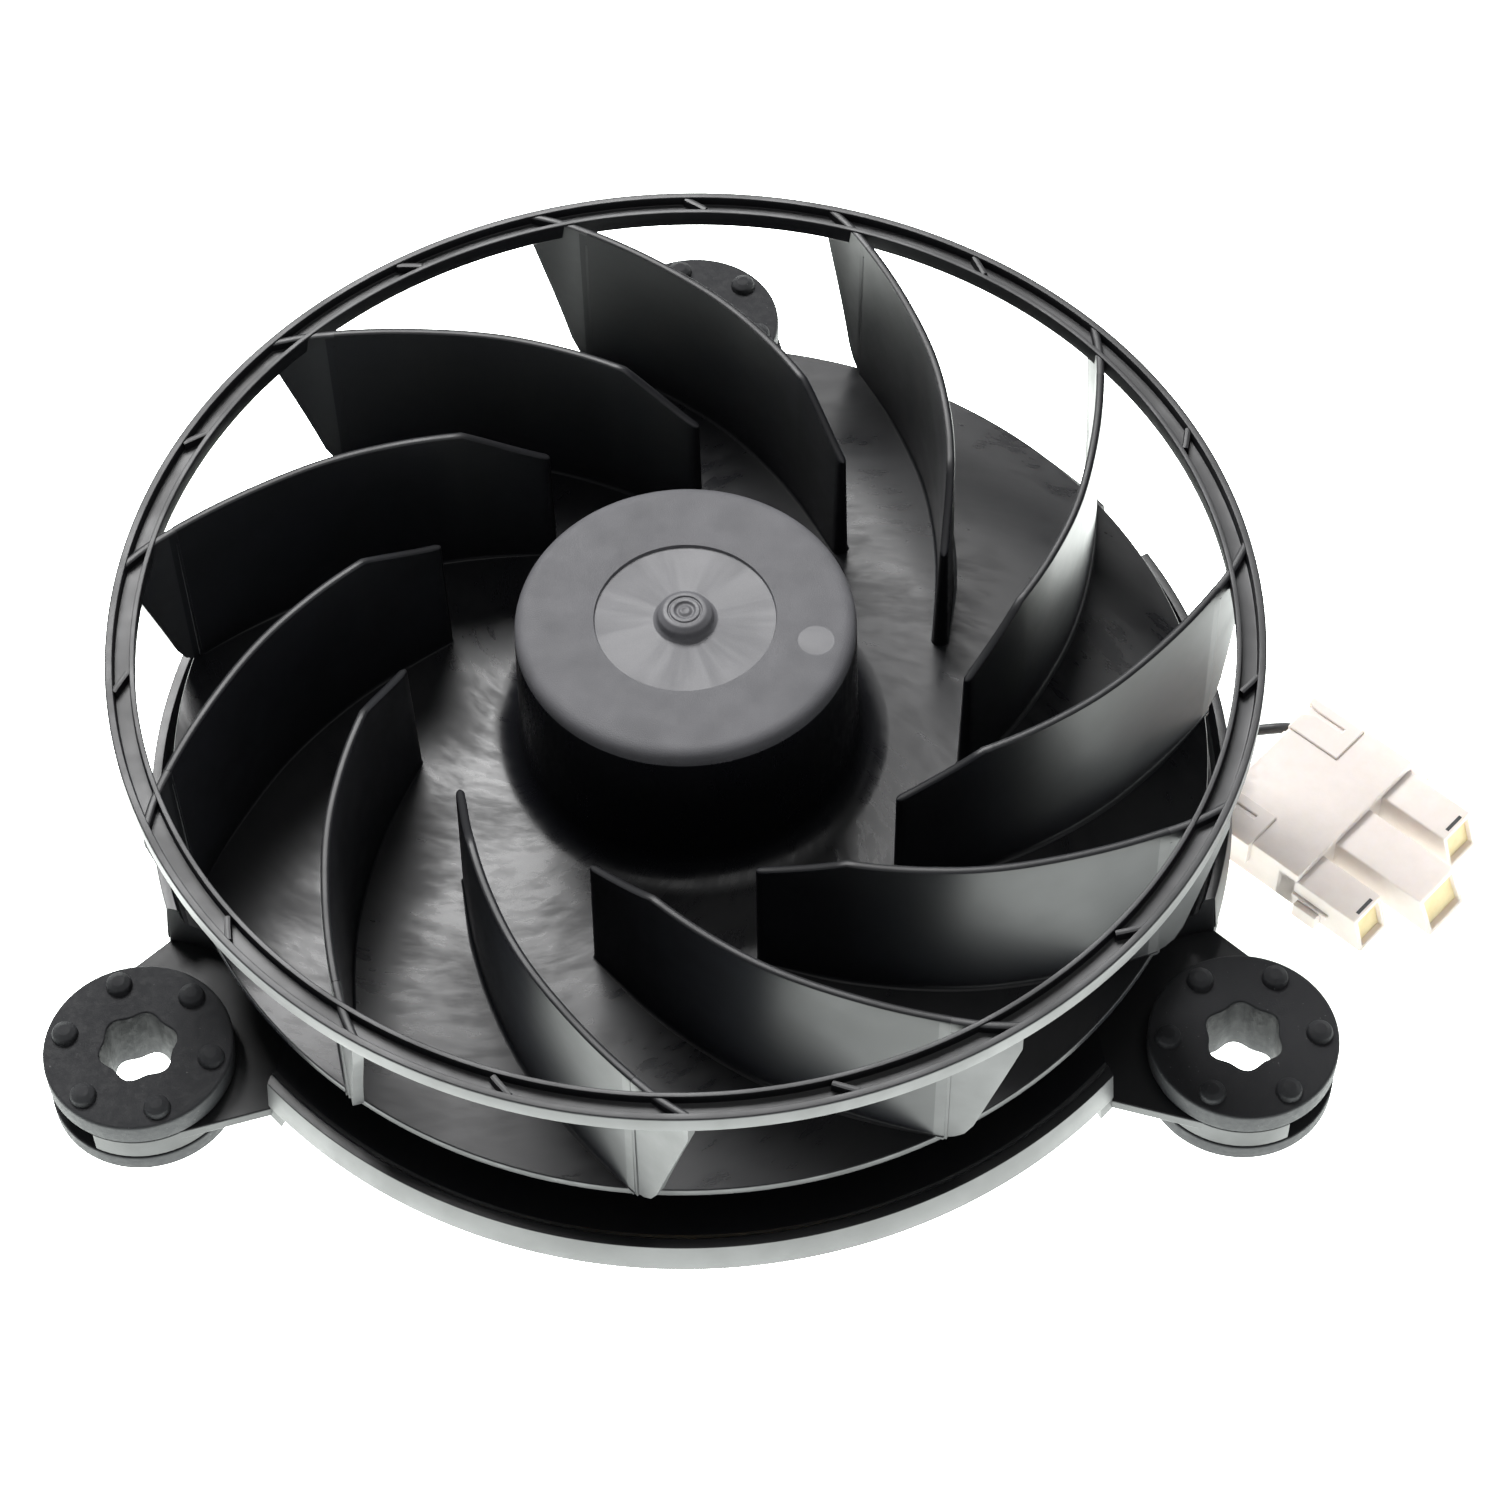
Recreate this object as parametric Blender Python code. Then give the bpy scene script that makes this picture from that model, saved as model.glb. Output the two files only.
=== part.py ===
"""Blower motor wheel: a mixed-flow impeller on an external-rotor DC motor.

The impeller spins about +Z.  The origin is on the wheel's axis, level with the
undersides of the three grommets that the fan stands on.  +X points to the
connector, +Y to the rear grommet.  Blender units are metres; the dimensions
below are in millimetres and are multiplied by MM where a shape is made.
"""

import math

import bmesh
import bpy
from mathutils import Matrix, Vector

MM = 0.001

# ---------------------------------------------------------------- dimensions
GAP = 0.3                      # clearance between neighbouring pieces

# impeller
RING_R = 57.5                  # outside radius of the ring
RING_TOP = 37.0
RING_H = 2.2
RING_INNER_R = 54.5            # inside face of the ring's inner wall
RING_WALL_OUT = 0.8            # thickness of the walls on either side of its channel
RING_WALL_IN = 0.55
RING_FLOOR = 1.15
BLADES = 11
BLADE_TOP = 36.9
BLADE_T_TOP = 0.9
BLADE_T_ROOT = 2.0
BLADE_T_TIP = 1.1              # of the fin outside the plate's rim
PLATE_RIM_R = 53.4
PLATE_RIM_Z = 16.6             # top face at the rim
PLATE_FOOT_Z = 17.6            # top face at the blades' inner ends
PLATE_T = 1.2
HUB_R = 17.0
HUB_TOP = 37.0
HUB_RECESS_R = 9.1
HUB_RECESS = 0.3
HUB_CAVITY_R = 15.5

# base frame
FLOOR_Z = 6.7                  # underside of the pan's floor
FLOOR_T = 1.5
WALL_R = 56.7                  # outside of the pan's wall, at its foot
WALL_TOP_R = 56.2
WALL_T = 1.2
WALL_TOP = 12.2                # beside and behind the wheel
WALL_TOP_FRONT = 10.3          # between the two front ears
EAR_PITCH_R = 64.05            # grommet axes from the wheel's axis
EAR_ANGLES = {"left": 210.0, "right": 330.0, "rear": 90.0}
EAR_RECESS_R = 14.5
EAR_TOP = 6.1
EAR_T = 1.4
FORK_R = 9.5
FORK_BOTTOM = 3.2
NECK_SLOT_R = 6.9
SLOT_HALF = 5.2                # half the fork's mouth

# grommets
GROMMET_R = 9.6
GROMMET_NECK_R = 6.5
GROMMET_TOP = 8.95
GROMMET_BOTTOM = 0.95
BUMP_R = 1.35
BUMP_H = 0.95
BUMP_PITCH_R = 7.6
HOLE_R = 3.75                  # mean radius of the six-lobed hole
HOLE_LOBE = 0.25
GROMMET_TURN = {"left": 19.3, "right": -28.6, "rear": 13.0}    # as pressed into the ears

# motor
SHAFT_R = 1.5
CUP_R = 15.2
CUP_T = 0.8
MAGNET_R = 14.1
MAGNET_T = 1.8
STATOR_R = 11.8
TUBE_R = 4.4
TUBE_T = 0.8
PCB_R = 14.8
PCB_Z = 10.4

# connector: its width runs along PLUG_ACROSS, its fingers along PLUG_ALONG
PLUG_TURN = math.radians(-42.8)
PLUG_CORNER = (62.4, -10.2)    # left end of the shoulder, seen from above
PLUG_W = 19.7
PLUG_BACK = -11.7
PLUG_SHOULDER = 0.9
PLUG_FOOT = 0.1
PLUG_TOP = 5.6
LATCH_TOP = 5.9
LATCH_W = 4.9
LATCHES = (-0.6, 14.4)         # left edges of the two latch plates
FINGER_FOOT = 0.15
FINGER_TOP = 4.6
FINGER_WALL = 0.55
FINGERS = {                    # left edge, right edge, end of the roof, end of the floor
    "left": (0.0, 4.5, 8.3, 9.7),
    "middle": (6.5, 12.4, 11.8, 13.9),
    "right": (14.5, 19.2, 8.9, 10.4),
}

# leads
LEAD_D = 1.2

# ----------------------------------------------------------------- materials
LOOKS = {
    "black_plastic": ((0.020, 0.020, 0.023), 0.38, 0.0),
    "frame_plastic": ((0.018, 0.018, 0.020), 0.45, 0.0),
    "rubber": ((0.022, 0.022, 0.024), 0.65, 0.0),
    "steel": ((0.55, 0.56, 0.58), 0.30, 1.0),
    "lamination": ((0.33, 0.34, 0.36), 0.45, 1.0),
    "ferrite": ((0.10, 0.10, 0.11), 0.60, 0.2),
    "brass": ((0.78, 0.58, 0.27), 0.30, 1.0),
    "bronze": ((0.55, 0.38, 0.22), 0.50, 1.0),
    "copper": ((0.72, 0.33, 0.15), 0.28, 1.0),
    "nylon": ((0.86, 0.82, 0.76), 0.42, 0.0),
    "insulator": ((0.80, 0.78, 0.70), 0.50, 0.0),
    "board": ((0.05, 0.20, 0.10), 0.45, 0.0),
    "chip": ((0.03, 0.03, 0.03), 0.50, 0.0),
    "tin": ((0.62, 0.61, 0.58), 0.35, 1.0),
    "lead_black": ((0.015, 0.015, 0.015), 0.45, 0.0),
    "lead_red": ((0.45, 0.02, 0.02), 0.45, 0.0),
}


def look(name):
    material = bpy.data.materials.get(name)
    if material is None:
        material = bpy.data.materials.new(name)
        material.use_nodes = True
        colour, roughness, metallic = LOOKS[name]
        shader = material.node_tree.nodes["Principled BSDF"]
        shader.inputs["Base Color"].default_value = (*colour, 1.0)
        shader.inputs["Roughness"].default_value = roughness
        shader.inputs["Metallic"].default_value = metallic
    return material


# ------------------------------------------------------------ shape building
def polar(radius, degrees, centre=(0.0, 0.0)):
    a = math.radians(degrees)
    return (centre[0] + radius * math.cos(a), centre[1] + radius * math.sin(a))


def mesh_from(verts, faces):
    """A mesh from millimetre points, with its faces turned outwards."""
    bm = bmesh.new()
    made = [bm.verts.new(Vector(v) * MM) for v in verts]
    for face in faces:
        bm.faces.new([made[i] for i in face])
    bmesh.ops.recalc_face_normals(bm, faces=bm.faces)
    mesh = bpy.data.meshes.new("shape")
    bm.to_mesh(mesh)
    bm.free()
    return mesh


def place(name, mesh, finish, parent=None, at=(0.0, 0.0, 0.0), sharp=35.0):
    mesh.name = name
    mesh.materials.clear()
    mesh.materials.append(look(finish))
    mesh.shade_smooth()
    mesh.set_sharp_from_angle(angle=math.radians(sharp))
    obj = bpy.data.objects.new(name, mesh)
    bpy.context.scene.collection.objects.link(obj)
    obj.location = Vector(at) * MM
    obj.parent = parent
    return obj


def turned(profile, segments, start=0.0):
    """A solid turned about Z from a closed (radius, z) profile.

    A profile whose first and last points lie on the axis closes on it."""
    on_axis = profile[0][0] == 0.0
    rim = profile[1:-1] if on_axis else profile
    verts, faces = [], []
    for k in range(segments):
        a = start + 2 * math.pi * k / segments
        verts += [(r * math.cos(a), r * math.sin(a), z) for r, z in rim]
    n = len(rim)
    for k in range(segments):
        here, there = k * n, (k + 1) % segments * n
        for i in range(n - 1 if on_axis else n):
            j = (i + 1) % n
            faces.append((here + i, there + i, there + j, here + j))
    if on_axis:
        first, last = len(verts), len(verts) + 1
        verts += [(0.0, 0.0, profile[0][1]), (0.0, 0.0, profile[-1][1])]
        for k in range(segments):
            here, there = k * n, (k + 1) % segments * n
            faces.append((first, there, here))
            faces.append((last, here + n - 1, there + n - 1))
    return mesh_from(verts, faces)


def prism(outline, z0, z1):
    """A straight prism over a closed outline."""
    n = len(outline)
    verts = [(x, y, z0) for x, y in outline] + [(x, y, z1) for x, y in outline]
    faces = [tuple(range(n)), tuple(range(n, 2 * n))]
    faces += [(i, (i + 1) % n, n + (i + 1) % n, n + i) for i in range(n)]
    return mesh_from(verts, faces)


def side_prism(profile, y0, y1):
    """A straight prism along Y over a closed (x, z) profile."""
    n = len(profile)
    verts = [(x, y0, z) for x, z in profile] + [(x, y1, z) for x, z in profile]
    faces = [tuple(range(n)), tuple(range(n, 2 * n))]
    faces += [(i, (i + 1) % n, n + (i + 1) % n, n + i) for i in range(n)]
    return mesh_from(verts, faces)


def brick(x0, x1, y0, y1, z0, z1):
    return prism([(x0, y0), (x1, y0), (x1, y1), (x0, y1)], z0, z1)


def loft(sections):
    """A solid through equal-sized rings of points, closed at both ends."""
    n = len(sections[0])
    verts = [p for ring in sections for p in ring]
    faces = [tuple(range(n)), tuple(range(len(verts) - n, len(verts)))]
    for s in range(len(sections) - 1):
        a, b = s * n, (s + 1) * n
        faces += [(a + i, a + (i + 1) % n, b + (i + 1) % n, b + i) for i in range(n)]
    return mesh_from(verts, faces)


def moved(mesh, matrix):
    mesh.transform(matrix)
    return mesh


def shifted(mesh, x, y, z=0.0):
    return moved(mesh, Matrix.Translation(Vector((x, y, z)) * MM))


def spun(mesh, degrees):
    return moved(mesh, Matrix.Rotation(math.radians(degrees), 4, "Z"))


def combined(mesh, others, operation):
    """Boolean UNION or DIFFERENCE of one mesh with others, one after another."""
    base = bpy.data.objects.new("base", mesh)
    bpy.context.scene.collection.objects.link(base)
    for other in others:
        tool = bpy.data.objects.new("tool", other)
        bpy.context.scene.collection.objects.link(tool)
        step = base.modifiers.new("step", "BOOLEAN")
        step.operation = operation
        step.solver = "EXACT"
        step.object = tool
        graph = bpy.context.evaluated_depsgraph_get()
        result = bpy.data.meshes.new_from_object(base.evaluated_get(graph))
        base.modifiers.clear()
        base.data = result
        bpy.data.objects.remove(tool)
    done = base.data
    bpy.data.objects.remove(base)
    return done


def joined(mesh, *others):
    return combined(mesh, others, "UNION")


def cut(mesh, *others):
    return combined(mesh, others, "DIFFERENCE")


def gathered(meshes):
    """Several separate shapes held in one mesh, for use in one Boolean step."""
    bm = bmesh.new()
    for mesh in meshes:
        bm.from_mesh(mesh)
    result = bpy.data.meshes.new("gathered")
    bm.to_mesh(result)
    bm.free()
    return result


def sector(r0, r1, a0, a1, z0, z1, steps):
    """A block bounded by two arcs about the wheel's axis."""
    angles = [a0 + (a1 - a0) * k / steps for k in range(steps + 1)]
    outline = [polar(r1, a) for a in angles] + [polar(r0, a) for a in reversed(angles)]
    return prism(outline, z0, z1)


# ------------------------------------------------------------------ impeller
BLADE_ANGLE = (                # blade centreline: radius, degrees from its start
    (28.2, 0.0), (33.3, 13.6), (38.2, 23.3), (43.1, 31.7), (48.9, 40.8),
    (54.3, 48.1), (57.5, 52.7),
)
BLADE_START = 55.0             # direction of the first blade's inner end


def blade_angle(radius):
    """Direction of the blade's centreline at a radius, from its inner end."""
    table = BLADE_ANGLE
    for (r0, a0), (r1, a1) in zip(table, table[1:]):
        if radius <= r1 or r1 == table[-1][0]:
            return a0 + (a1 - a0) * (radius - r0) / (r1 - r0)


def blade_top(radius):
    """The blade's upper edge: it falls away inside the kink."""
    return BLADE_TOP - max(0.0, 33.3 - radius) * 0.82


def plate_top(radius):
    inner = 28.0
    return PLATE_FOOT_Z + (PLATE_RIM_Z - PLATE_FOOT_Z) * (radius - inner) / (PLATE_RIM_R - inner)


def blade():
    """One blade, from its inner end to the ring's outer wall.

    Outside the plate's rim it is a thinner fin whose lower edge rises to the
    ring's outer edge; its top crosses the ring's channel as a rib."""
    stations = [28.2, 30.8, 33.3, 38.2, 43.1, 48.9, 52.9, 54.3, 56.9]
    fin_foot, fin_end = PLATE_RIM_Z - 0.2, RING_TOP - RING_H + 0.3
    sections = []
    for r in stations:
        a = blade_angle(r)
        x, y = polar(r, a)
        x0, y0 = polar(r - 0.4, blade_angle(r - 0.4))
        x1, y1 = polar(r + 0.4, blade_angle(r + 0.4))
        along = Vector((x1 - x0, y1 - y0)).normalized()
        side = Vector((-along.y, along.x))
        top, low = blade_top(r), plate_top(r) - 0.5
        root = BLADE_T_ROOT
        if r > PLATE_RIM_R:
            share = (r - PLATE_RIM_R) / (RING_R - 0.3 - PLATE_RIM_R)
            low = fin_foot + share * (fin_end - fin_foot)
            root = BLADE_T_TIP
        half_top, half_low = BLADE_T_TOP / 2, root / 2
        sections.append([
            (x + side.x * half_top, y + side.y * half_top, top),
            (x - side.x * half_top, y - side.y * half_top, top),
            (x - side.x * half_low, y - side.y * half_low, low),
            (x + side.x * half_low, y + side.y * half_low, low),
        ])
    return loft(sections)


def channel_rib():
    """A short rib across the ring's channel, half a pitch from the blades."""
    shift = 180.0 / BLADES
    ends = [polar(r, blade_angle(r) + shift) for r in (54.9, 56.8)]
    along = (Vector(ends[1]) - Vector(ends[0])).normalized()
    side = Vector((-along.y, along.x)) * 0.4
    outline = [
        tuple(Vector(ends[0]) + side), tuple(Vector(ends[0]) - side),
        tuple(Vector(ends[1]) - side), tuple(Vector(ends[1]) + side),
    ]
    return prism(outline, RING_TOP - RING_H + 0.3, BLADE_TOP - 0.2)


def impeller_mesh():
    facets = 5 * BLADES
    cap = HUB_TOP - HUB_RECESS
    hub_and_plate = turned([
        (0.0, 38.25), (1.9, 38.2), (2.95, 37.4), (3.05, cap),
        (HUB_RECESS_R, cap), (HUB_RECESS_R + 0.05, HUB_TOP), (16.1, HUB_TOP),
        (HUB_R, 36.2), (17.3, 22.0), (18.6, 19.2), (21.5, plate_top(21.5)),
        (PLATE_RIM_R - 0.2, PLATE_RIM_Z), (PLATE_RIM_R, PLATE_RIM_Z - 0.3),
        (PLATE_RIM_R - 0.2, PLATE_RIM_Z - PLATE_T), (18.0, 16.3), (HUB_CAVITY_R, 15.4),
        (HUB_CAVITY_R, 35.2), (4.2, 35.2), (4.2, 30.6), (2.65, 30.6),
        (2.65, 36.2), (0.0, 36.2),
    ], facets)
    floor = RING_TOP - RING_H
    ring = turned([
        (RING_INNER_R, RING_TOP), (RING_INNER_R + 0.15, floor),
        (RING_R - 0.2, floor), (RING_R, floor + 0.3), (RING_R, RING_TOP),
        (RING_R - RING_WALL_OUT, RING_TOP), (RING_R - RING_WALL_OUT, floor + RING_FLOOR),
        (RING_INNER_R + RING_WALL_IN, floor + RING_FLOOR), (RING_INNER_R + RING_WALL_IN, RING_TOP),
    ], facets)
    pitch = 360.0 / BLADES
    blades = gathered([spun(blade(), BLADE_START + k * pitch) for k in range(BLADES)])
    ribs = gathered([spun(channel_rib(), BLADE_START + k * pitch) for k in range(BLADES)])
    return joined(ring, blades, ribs, hub_and_plate)


# --------------------------------------------------------------------- frame
def ear_plate(angle):
    """The ear's plate: a round inner end under the pan, and a forked outer end."""
    centre = polar(EAR_PITCH_R, angle)
    inner = EAR_RECESS_R + 0.7
    plate_r, slot_r, half = FORK_R - 0.25, NECK_SLOT_R + 0.25, SLOT_HALF + 0.25
    swing = math.degrees(math.acos(
        (EAR_PITCH_R**2 + inner**2 - 55.5**2) / (2 * EAR_PITCH_R * inner)))
    arc = [polar(inner, angle + 180 - swing + 2 * swing * k / 12, centre) for k in range(13)]
    mouth = math.degrees(math.asin(half / plate_r))
    lip = math.degrees(math.asin(half / slot_r))
    outer = [polar(plate_r, angle - 78 + (78 - mouth) * k / 5, centre) for k in range(6)]
    slot = [polar(slot_r, angle - lip - (360 - 2 * lip) * k / 20, centre) for k in range(21)]
    other = [polar(plate_r, angle + mouth + (78 - mouth) * k / 5, centre) for k in range(6)]
    return prism(arc + outer + slot + other, EAR_TOP - EAR_T, EAR_TOP)


def fork(angle):
    """The deeper C-shaped band around the grommet's neck."""
    centre = polar(EAR_PITCH_R, angle)
    mouth = math.degrees(math.asin(SLOT_HALF / FORK_R))
    lip = math.degrees(math.asin(SLOT_HALF / NECK_SLOT_R))
    outer = [polar(FORK_R, angle + mouth + (360 - 2 * mouth) * k / 24, centre) for k in range(25)]
    slot = [polar(NECK_SLOT_R, angle - lip - (360 - 2 * lip) * k / 20, centre) for k in range(21)]
    return prism(outer + slot, FORK_BOTTOM, EAR_TOP - 0.05)


def riser(angle):
    """The curved step between the pan and the lower ear plate."""
    centre = polar(EAR_PITCH_R, angle)
    swing = math.degrees(math.acos(
        (EAR_PITCH_R**2 + EAR_RECESS_R**2 - 56.4**2) / (2 * EAR_PITCH_R * EAR_RECESS_R)))
    reach = math.degrees(math.acos(
        (EAR_PITCH_R**2 + (EAR_RECESS_R + 1.6)**2 - 56.4**2) / (2 * EAR_PITCH_R * (EAR_RECESS_R + 1.6))))
    inner = [polar(EAR_RECESS_R, angle + 180 - swing + 2 * swing * k / 14, centre) for k in range(15)]
    outer = [polar(EAR_RECESS_R + 1.6, angle + 180 + reach - 2 * reach * k / 14, centre) for k in range(15)]
    return prism(inner + outer, EAR_TOP - EAR_T - 0.04, FLOOR_Z + FLOOR_T - 0.1)


def frame_mesh():
    floor_top = FLOOR_Z + FLOOR_T
    pan = turned([
        (4.75, 9.4), (4.75, FLOOR_Z), (46.0, FLOOR_Z), (54.0, 8.1), (55.0, 8.2),
        (55.3, FLOOR_Z), (WALL_R, FLOOR_Z), (WALL_TOP_R, WALL_TOP),
        (WALL_TOP_R - WALL_T, WALL_TOP), (54.6, 9.8), (46.0, floor_top),
        (7.4, floor_top), (7.4, 9.4),
    ], 60)
    recesses = gathered([
        shifted(turned([(0.0, 2.0), (EAR_RECESS_R + 0.7, 2.0), (EAR_RECESS_R + 0.7, 14.0), (0.0, 14.0)], 40),
                *polar(EAR_PITCH_R, a)) for a in EAR_ANGLES.values()
    ])
    low_front = sector(52.0, 60.0, 215.0, 325.0, WALL_TOP_FRONT, 14.0, 20)
    scallop = sector(52.0, 60.0, 28.8, 38.2, WALL_TOP_FRONT, 14.1, 3)
    body = cut(pan, low_front, scallop, recesses)
    for a in EAR_ANGLES.values():
        body = joined(body, riser(a), ear_plate(a), fork(a))
    # stiffening under the floor: a round collar and spokes, clear of the leads
    collar = turned([(20.0, 7.0), (20.0, 3.6), (21.4, 3.6), (21.4, 7.0)], 30)
    spokes = gathered([
        spun(prism([(21.0, -0.6), (46.0, -0.6), (46.0, 0.6), (21.0, 0.6)], 4.2, 7.1), a)
        for a in (60.0, 120.0, 150.0, 180.0, 240.0, 270.0, 300.0)
    ])
    posts = gathered([
        shifted(turned([(0.0, 7.8), (1.2, 7.8), (1.2, 9.2), (0.0, 9.2)], 10), *polar(12.4, a))
        for a in (70.0, 190.0, 310.0)
    ])
    body = joined(body, collar, spokes, posts)
    lead_slot = prism([(31.0, 1.0), (37.0, 1.0), (37.0, 8.0), (31.0, 8.0)], 5.0, 10.0)
    return cut(body, lead_slot)


# ------------------------------------------------------------------ grommets
def grommet_mesh():
    waist_top, waist_low = EAR_TOP + 0.1, FORK_BOTTOM - 0.1
    body = turned([
        (GROMMET_R - 0.4, GROMMET_TOP), (GROMMET_R, GROMMET_TOP - 0.4), (GROMMET_R, waist_top),
        (GROMMET_NECK_R, waist_top), (GROMMET_NECK_R, waist_low), (GROMMET_R, waist_low),
        (GROMMET_R, GROMMET_BOTTOM + 0.4), (GROMMET_R - 0.4, GROMMET_BOTTOM),
        (1.0, GROMMET_BOTTOM), (1.0, GROMMET_TOP),
    ], 24)
    lobes = [polar(HOLE_R + HOLE_LOBE * math.cos(math.radians(6 * a)), a) for a in range(0, 360, 15)]
    hole = prism(lobes, -1.0, 11.0)

    def bump(degrees, z, up):
        profile = [(0.0, z - 0.3 * up), (BUMP_R, z - 0.3 * up),
                   (BUMP_R * 0.6, z + 0.8 * up), (0.0, z + BUMP_H * up)]
        return shifted(turned(profile, 7), *polar(BUMP_PITCH_R, degrees))

    above = gathered([bump(30 + 60 * k, GROMMET_TOP, 1) for k in range(6)])
    below = gathered([bump(30 + 60 * k, GROMMET_BOTTOM, -1) for k in range(6)])
    return cut(joined(body, above, below), hole)


# --------------------------------------------------------------------- motor
def stator_mesh():
    """A four-pole laminated core: a ring with four T-shaped teeth."""
    outline = []
    for pole in range(4):
        mid = 45.0 + 90.0 * pole
        neck = math.degrees(math.asin(1.9 / 6.6))
        shoe = 37.0
        outline += [polar(6.6, mid - neck), polar(9.9, mid - 11.0), polar(10.4, mid - shoe)]
        outline += [polar(STATOR_R, mid - shoe + 2 * shoe * k / 8) for k in range(9)]
        outline += [polar(10.4, mid + shoe), polar(9.9, mid + 11.0), polar(6.6, mid + neck)]
        outline += [polar(6.6, mid + 35.0 + 10.0 * k) for k in range(3)]
    bore = turned([(0.0, 12.0), (TUBE_R + GAP, 12.0), (TUBE_R + GAP, 34.0), (0.0, 34.0)], 24)
    return cut(prism(outline, 16.5, 27.5), bore)


def insulator_mesh(z0, z1, arms_z):
    """A moulded end plate beside the core: a collar with an arm along each tooth."""
    collar = turned([(TUBE_R + GAP, z0), (6.3, z0), (6.3, z1), (TUBE_R + GAP, z1)], 24)
    arms = gathered([
        spun(brick(5.6, 10.9, -1.6, 1.6, arms_z, arms_z + 0.8), 45 + 90 * k) for k in range(4)
    ])
    return joined(collar, arms)


def coil_mesh():
    """A winding round one tooth: a rounded rectangular ring, lying across Y."""
    outer = [(-3.6, 14.1), (3.6, 14.1), (4.3, 14.8), (4.3, 29.2), (3.6, 29.9), (-3.6, 29.9),
             (-4.3, 29.2), (-4.3, 14.8)]
    inner = [(-2.25, 15.0), (2.25, 15.0), (2.25, 29.0), (-2.25, 29.0)]
    return cut(side_prism(outer, 7.0, 8.6), side_prism(inner, 6.0, 10.0))


# ----------------------------------------------------------------- connector
def plug_matrix():
    """From the plug's own axes (u along the fingers, v across) to the model's."""
    c, s = math.cos(PLUG_TURN), math.sin(PLUG_TURN)
    matrix = Matrix.Identity(4)
    matrix[0][0], matrix[0][1] = c, -s
    matrix[1][0], matrix[1][1] = s, c
    matrix.translation = Vector((PLUG_CORNER[0], PLUG_CORNER[1], 0.0)) * MM
    return matrix


def plug_point(u, v, z):
    p = plug_matrix() @ (Vector((u, v, z)) * MM)
    return tuple(p / MM)


def plug_mesh():
    """The housing: a flat body, two latch plates and three fingers with open ends."""
    body = side_prism([
        (PLUG_BACK, PLUG_FOOT), (PLUG_SHOULDER, PLUG_FOOT), (PLUG_SHOULDER, PLUG_TOP), (PLUG_BACK, PLUG_TOP),
    ], 0.0, PLUG_W)
    parts = [
        brick(-1.5, 3.0, PLUG_W - 0.8, PLUG_W + 0.4, 1.0, 4.2),       # key beside the right finger
        brick(1.4, 4.3, -1.1, 0.2, 0.2, 2.2),                         # foot beside the left finger
        brick(0.6, 5.2, -0.35, 0.2, 2.05, 2.6),                       # rail above that foot
    ]
    cuts = []
    for v in LATCHES:
        parts.append(brick(-12.2, -5.3, v, v + LATCH_W, 2.4, LATCH_TOP))
        cuts.append(brick(-14.0, -7.0, v + 3.0, v + 3.6, LATCH_TOP - 1.6, LATCH_TOP + 1.0))
    for name, (v0, v1, roof, floor) in FINGERS.items():
        parts.append(side_prism([
            (-1.0, FINGER_FOOT), (floor, FINGER_FOOT), (roof, FINGER_TOP), (-1.0, FINGER_TOP),
        ], v0, v1))
        pocket = 2.8 if name == "middle" else -7.0
        cuts.append(brick(pocket, floor + 1.0, v0 + FINGER_WALL, v1 - FINGER_WALL,
                          FINGER_FOOT + FINGER_WALL, FINGER_TOP - FINGER_WALL))
        if name != "middle":   # a slot across the roof, over the contact's end
            cuts.append(brick(roof - 0.8, roof - 0.35, v0 + 1.0, v1 - 1.0,
                              FINGER_TOP - 1.0, FINGER_TOP + 1.0))
    for v0, v1 in ((1.2, 4.2), (13.6, 18.1)):     # holes for the leads, at the back
        cuts.append(brick(-14.0, -6.5, v0, v1, 1.6, 4.8))
    return cut(joined(body, *parts), *cuts)


def contact_mesh(name):
    """A tinned box contact with a crimp tail, inside a short finger."""
    v0, v1, roof, _ = FINGERS[name]
    mid = (v0 + v1) / 2
    box = brick(roof - 7.0, roof - 0.9, mid - 1.15, mid + 1.15, 1.15, 3.6)
    bore = brick(roof - 5.5, roof, mid - 0.75, mid + 0.75, 1.55, 3.15)
    tail = brick(roof - 13.2, roof - 6.8, mid - 0.7, mid + 0.7, 1.2, 1.7)
    return joined(cut(box, bore), tail)


# --------------------------------------------------------------------- leads
LEAD_REST = LEAD_D / 2 + 0.05  # height of a lead's middle where it lies on the ground


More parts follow.
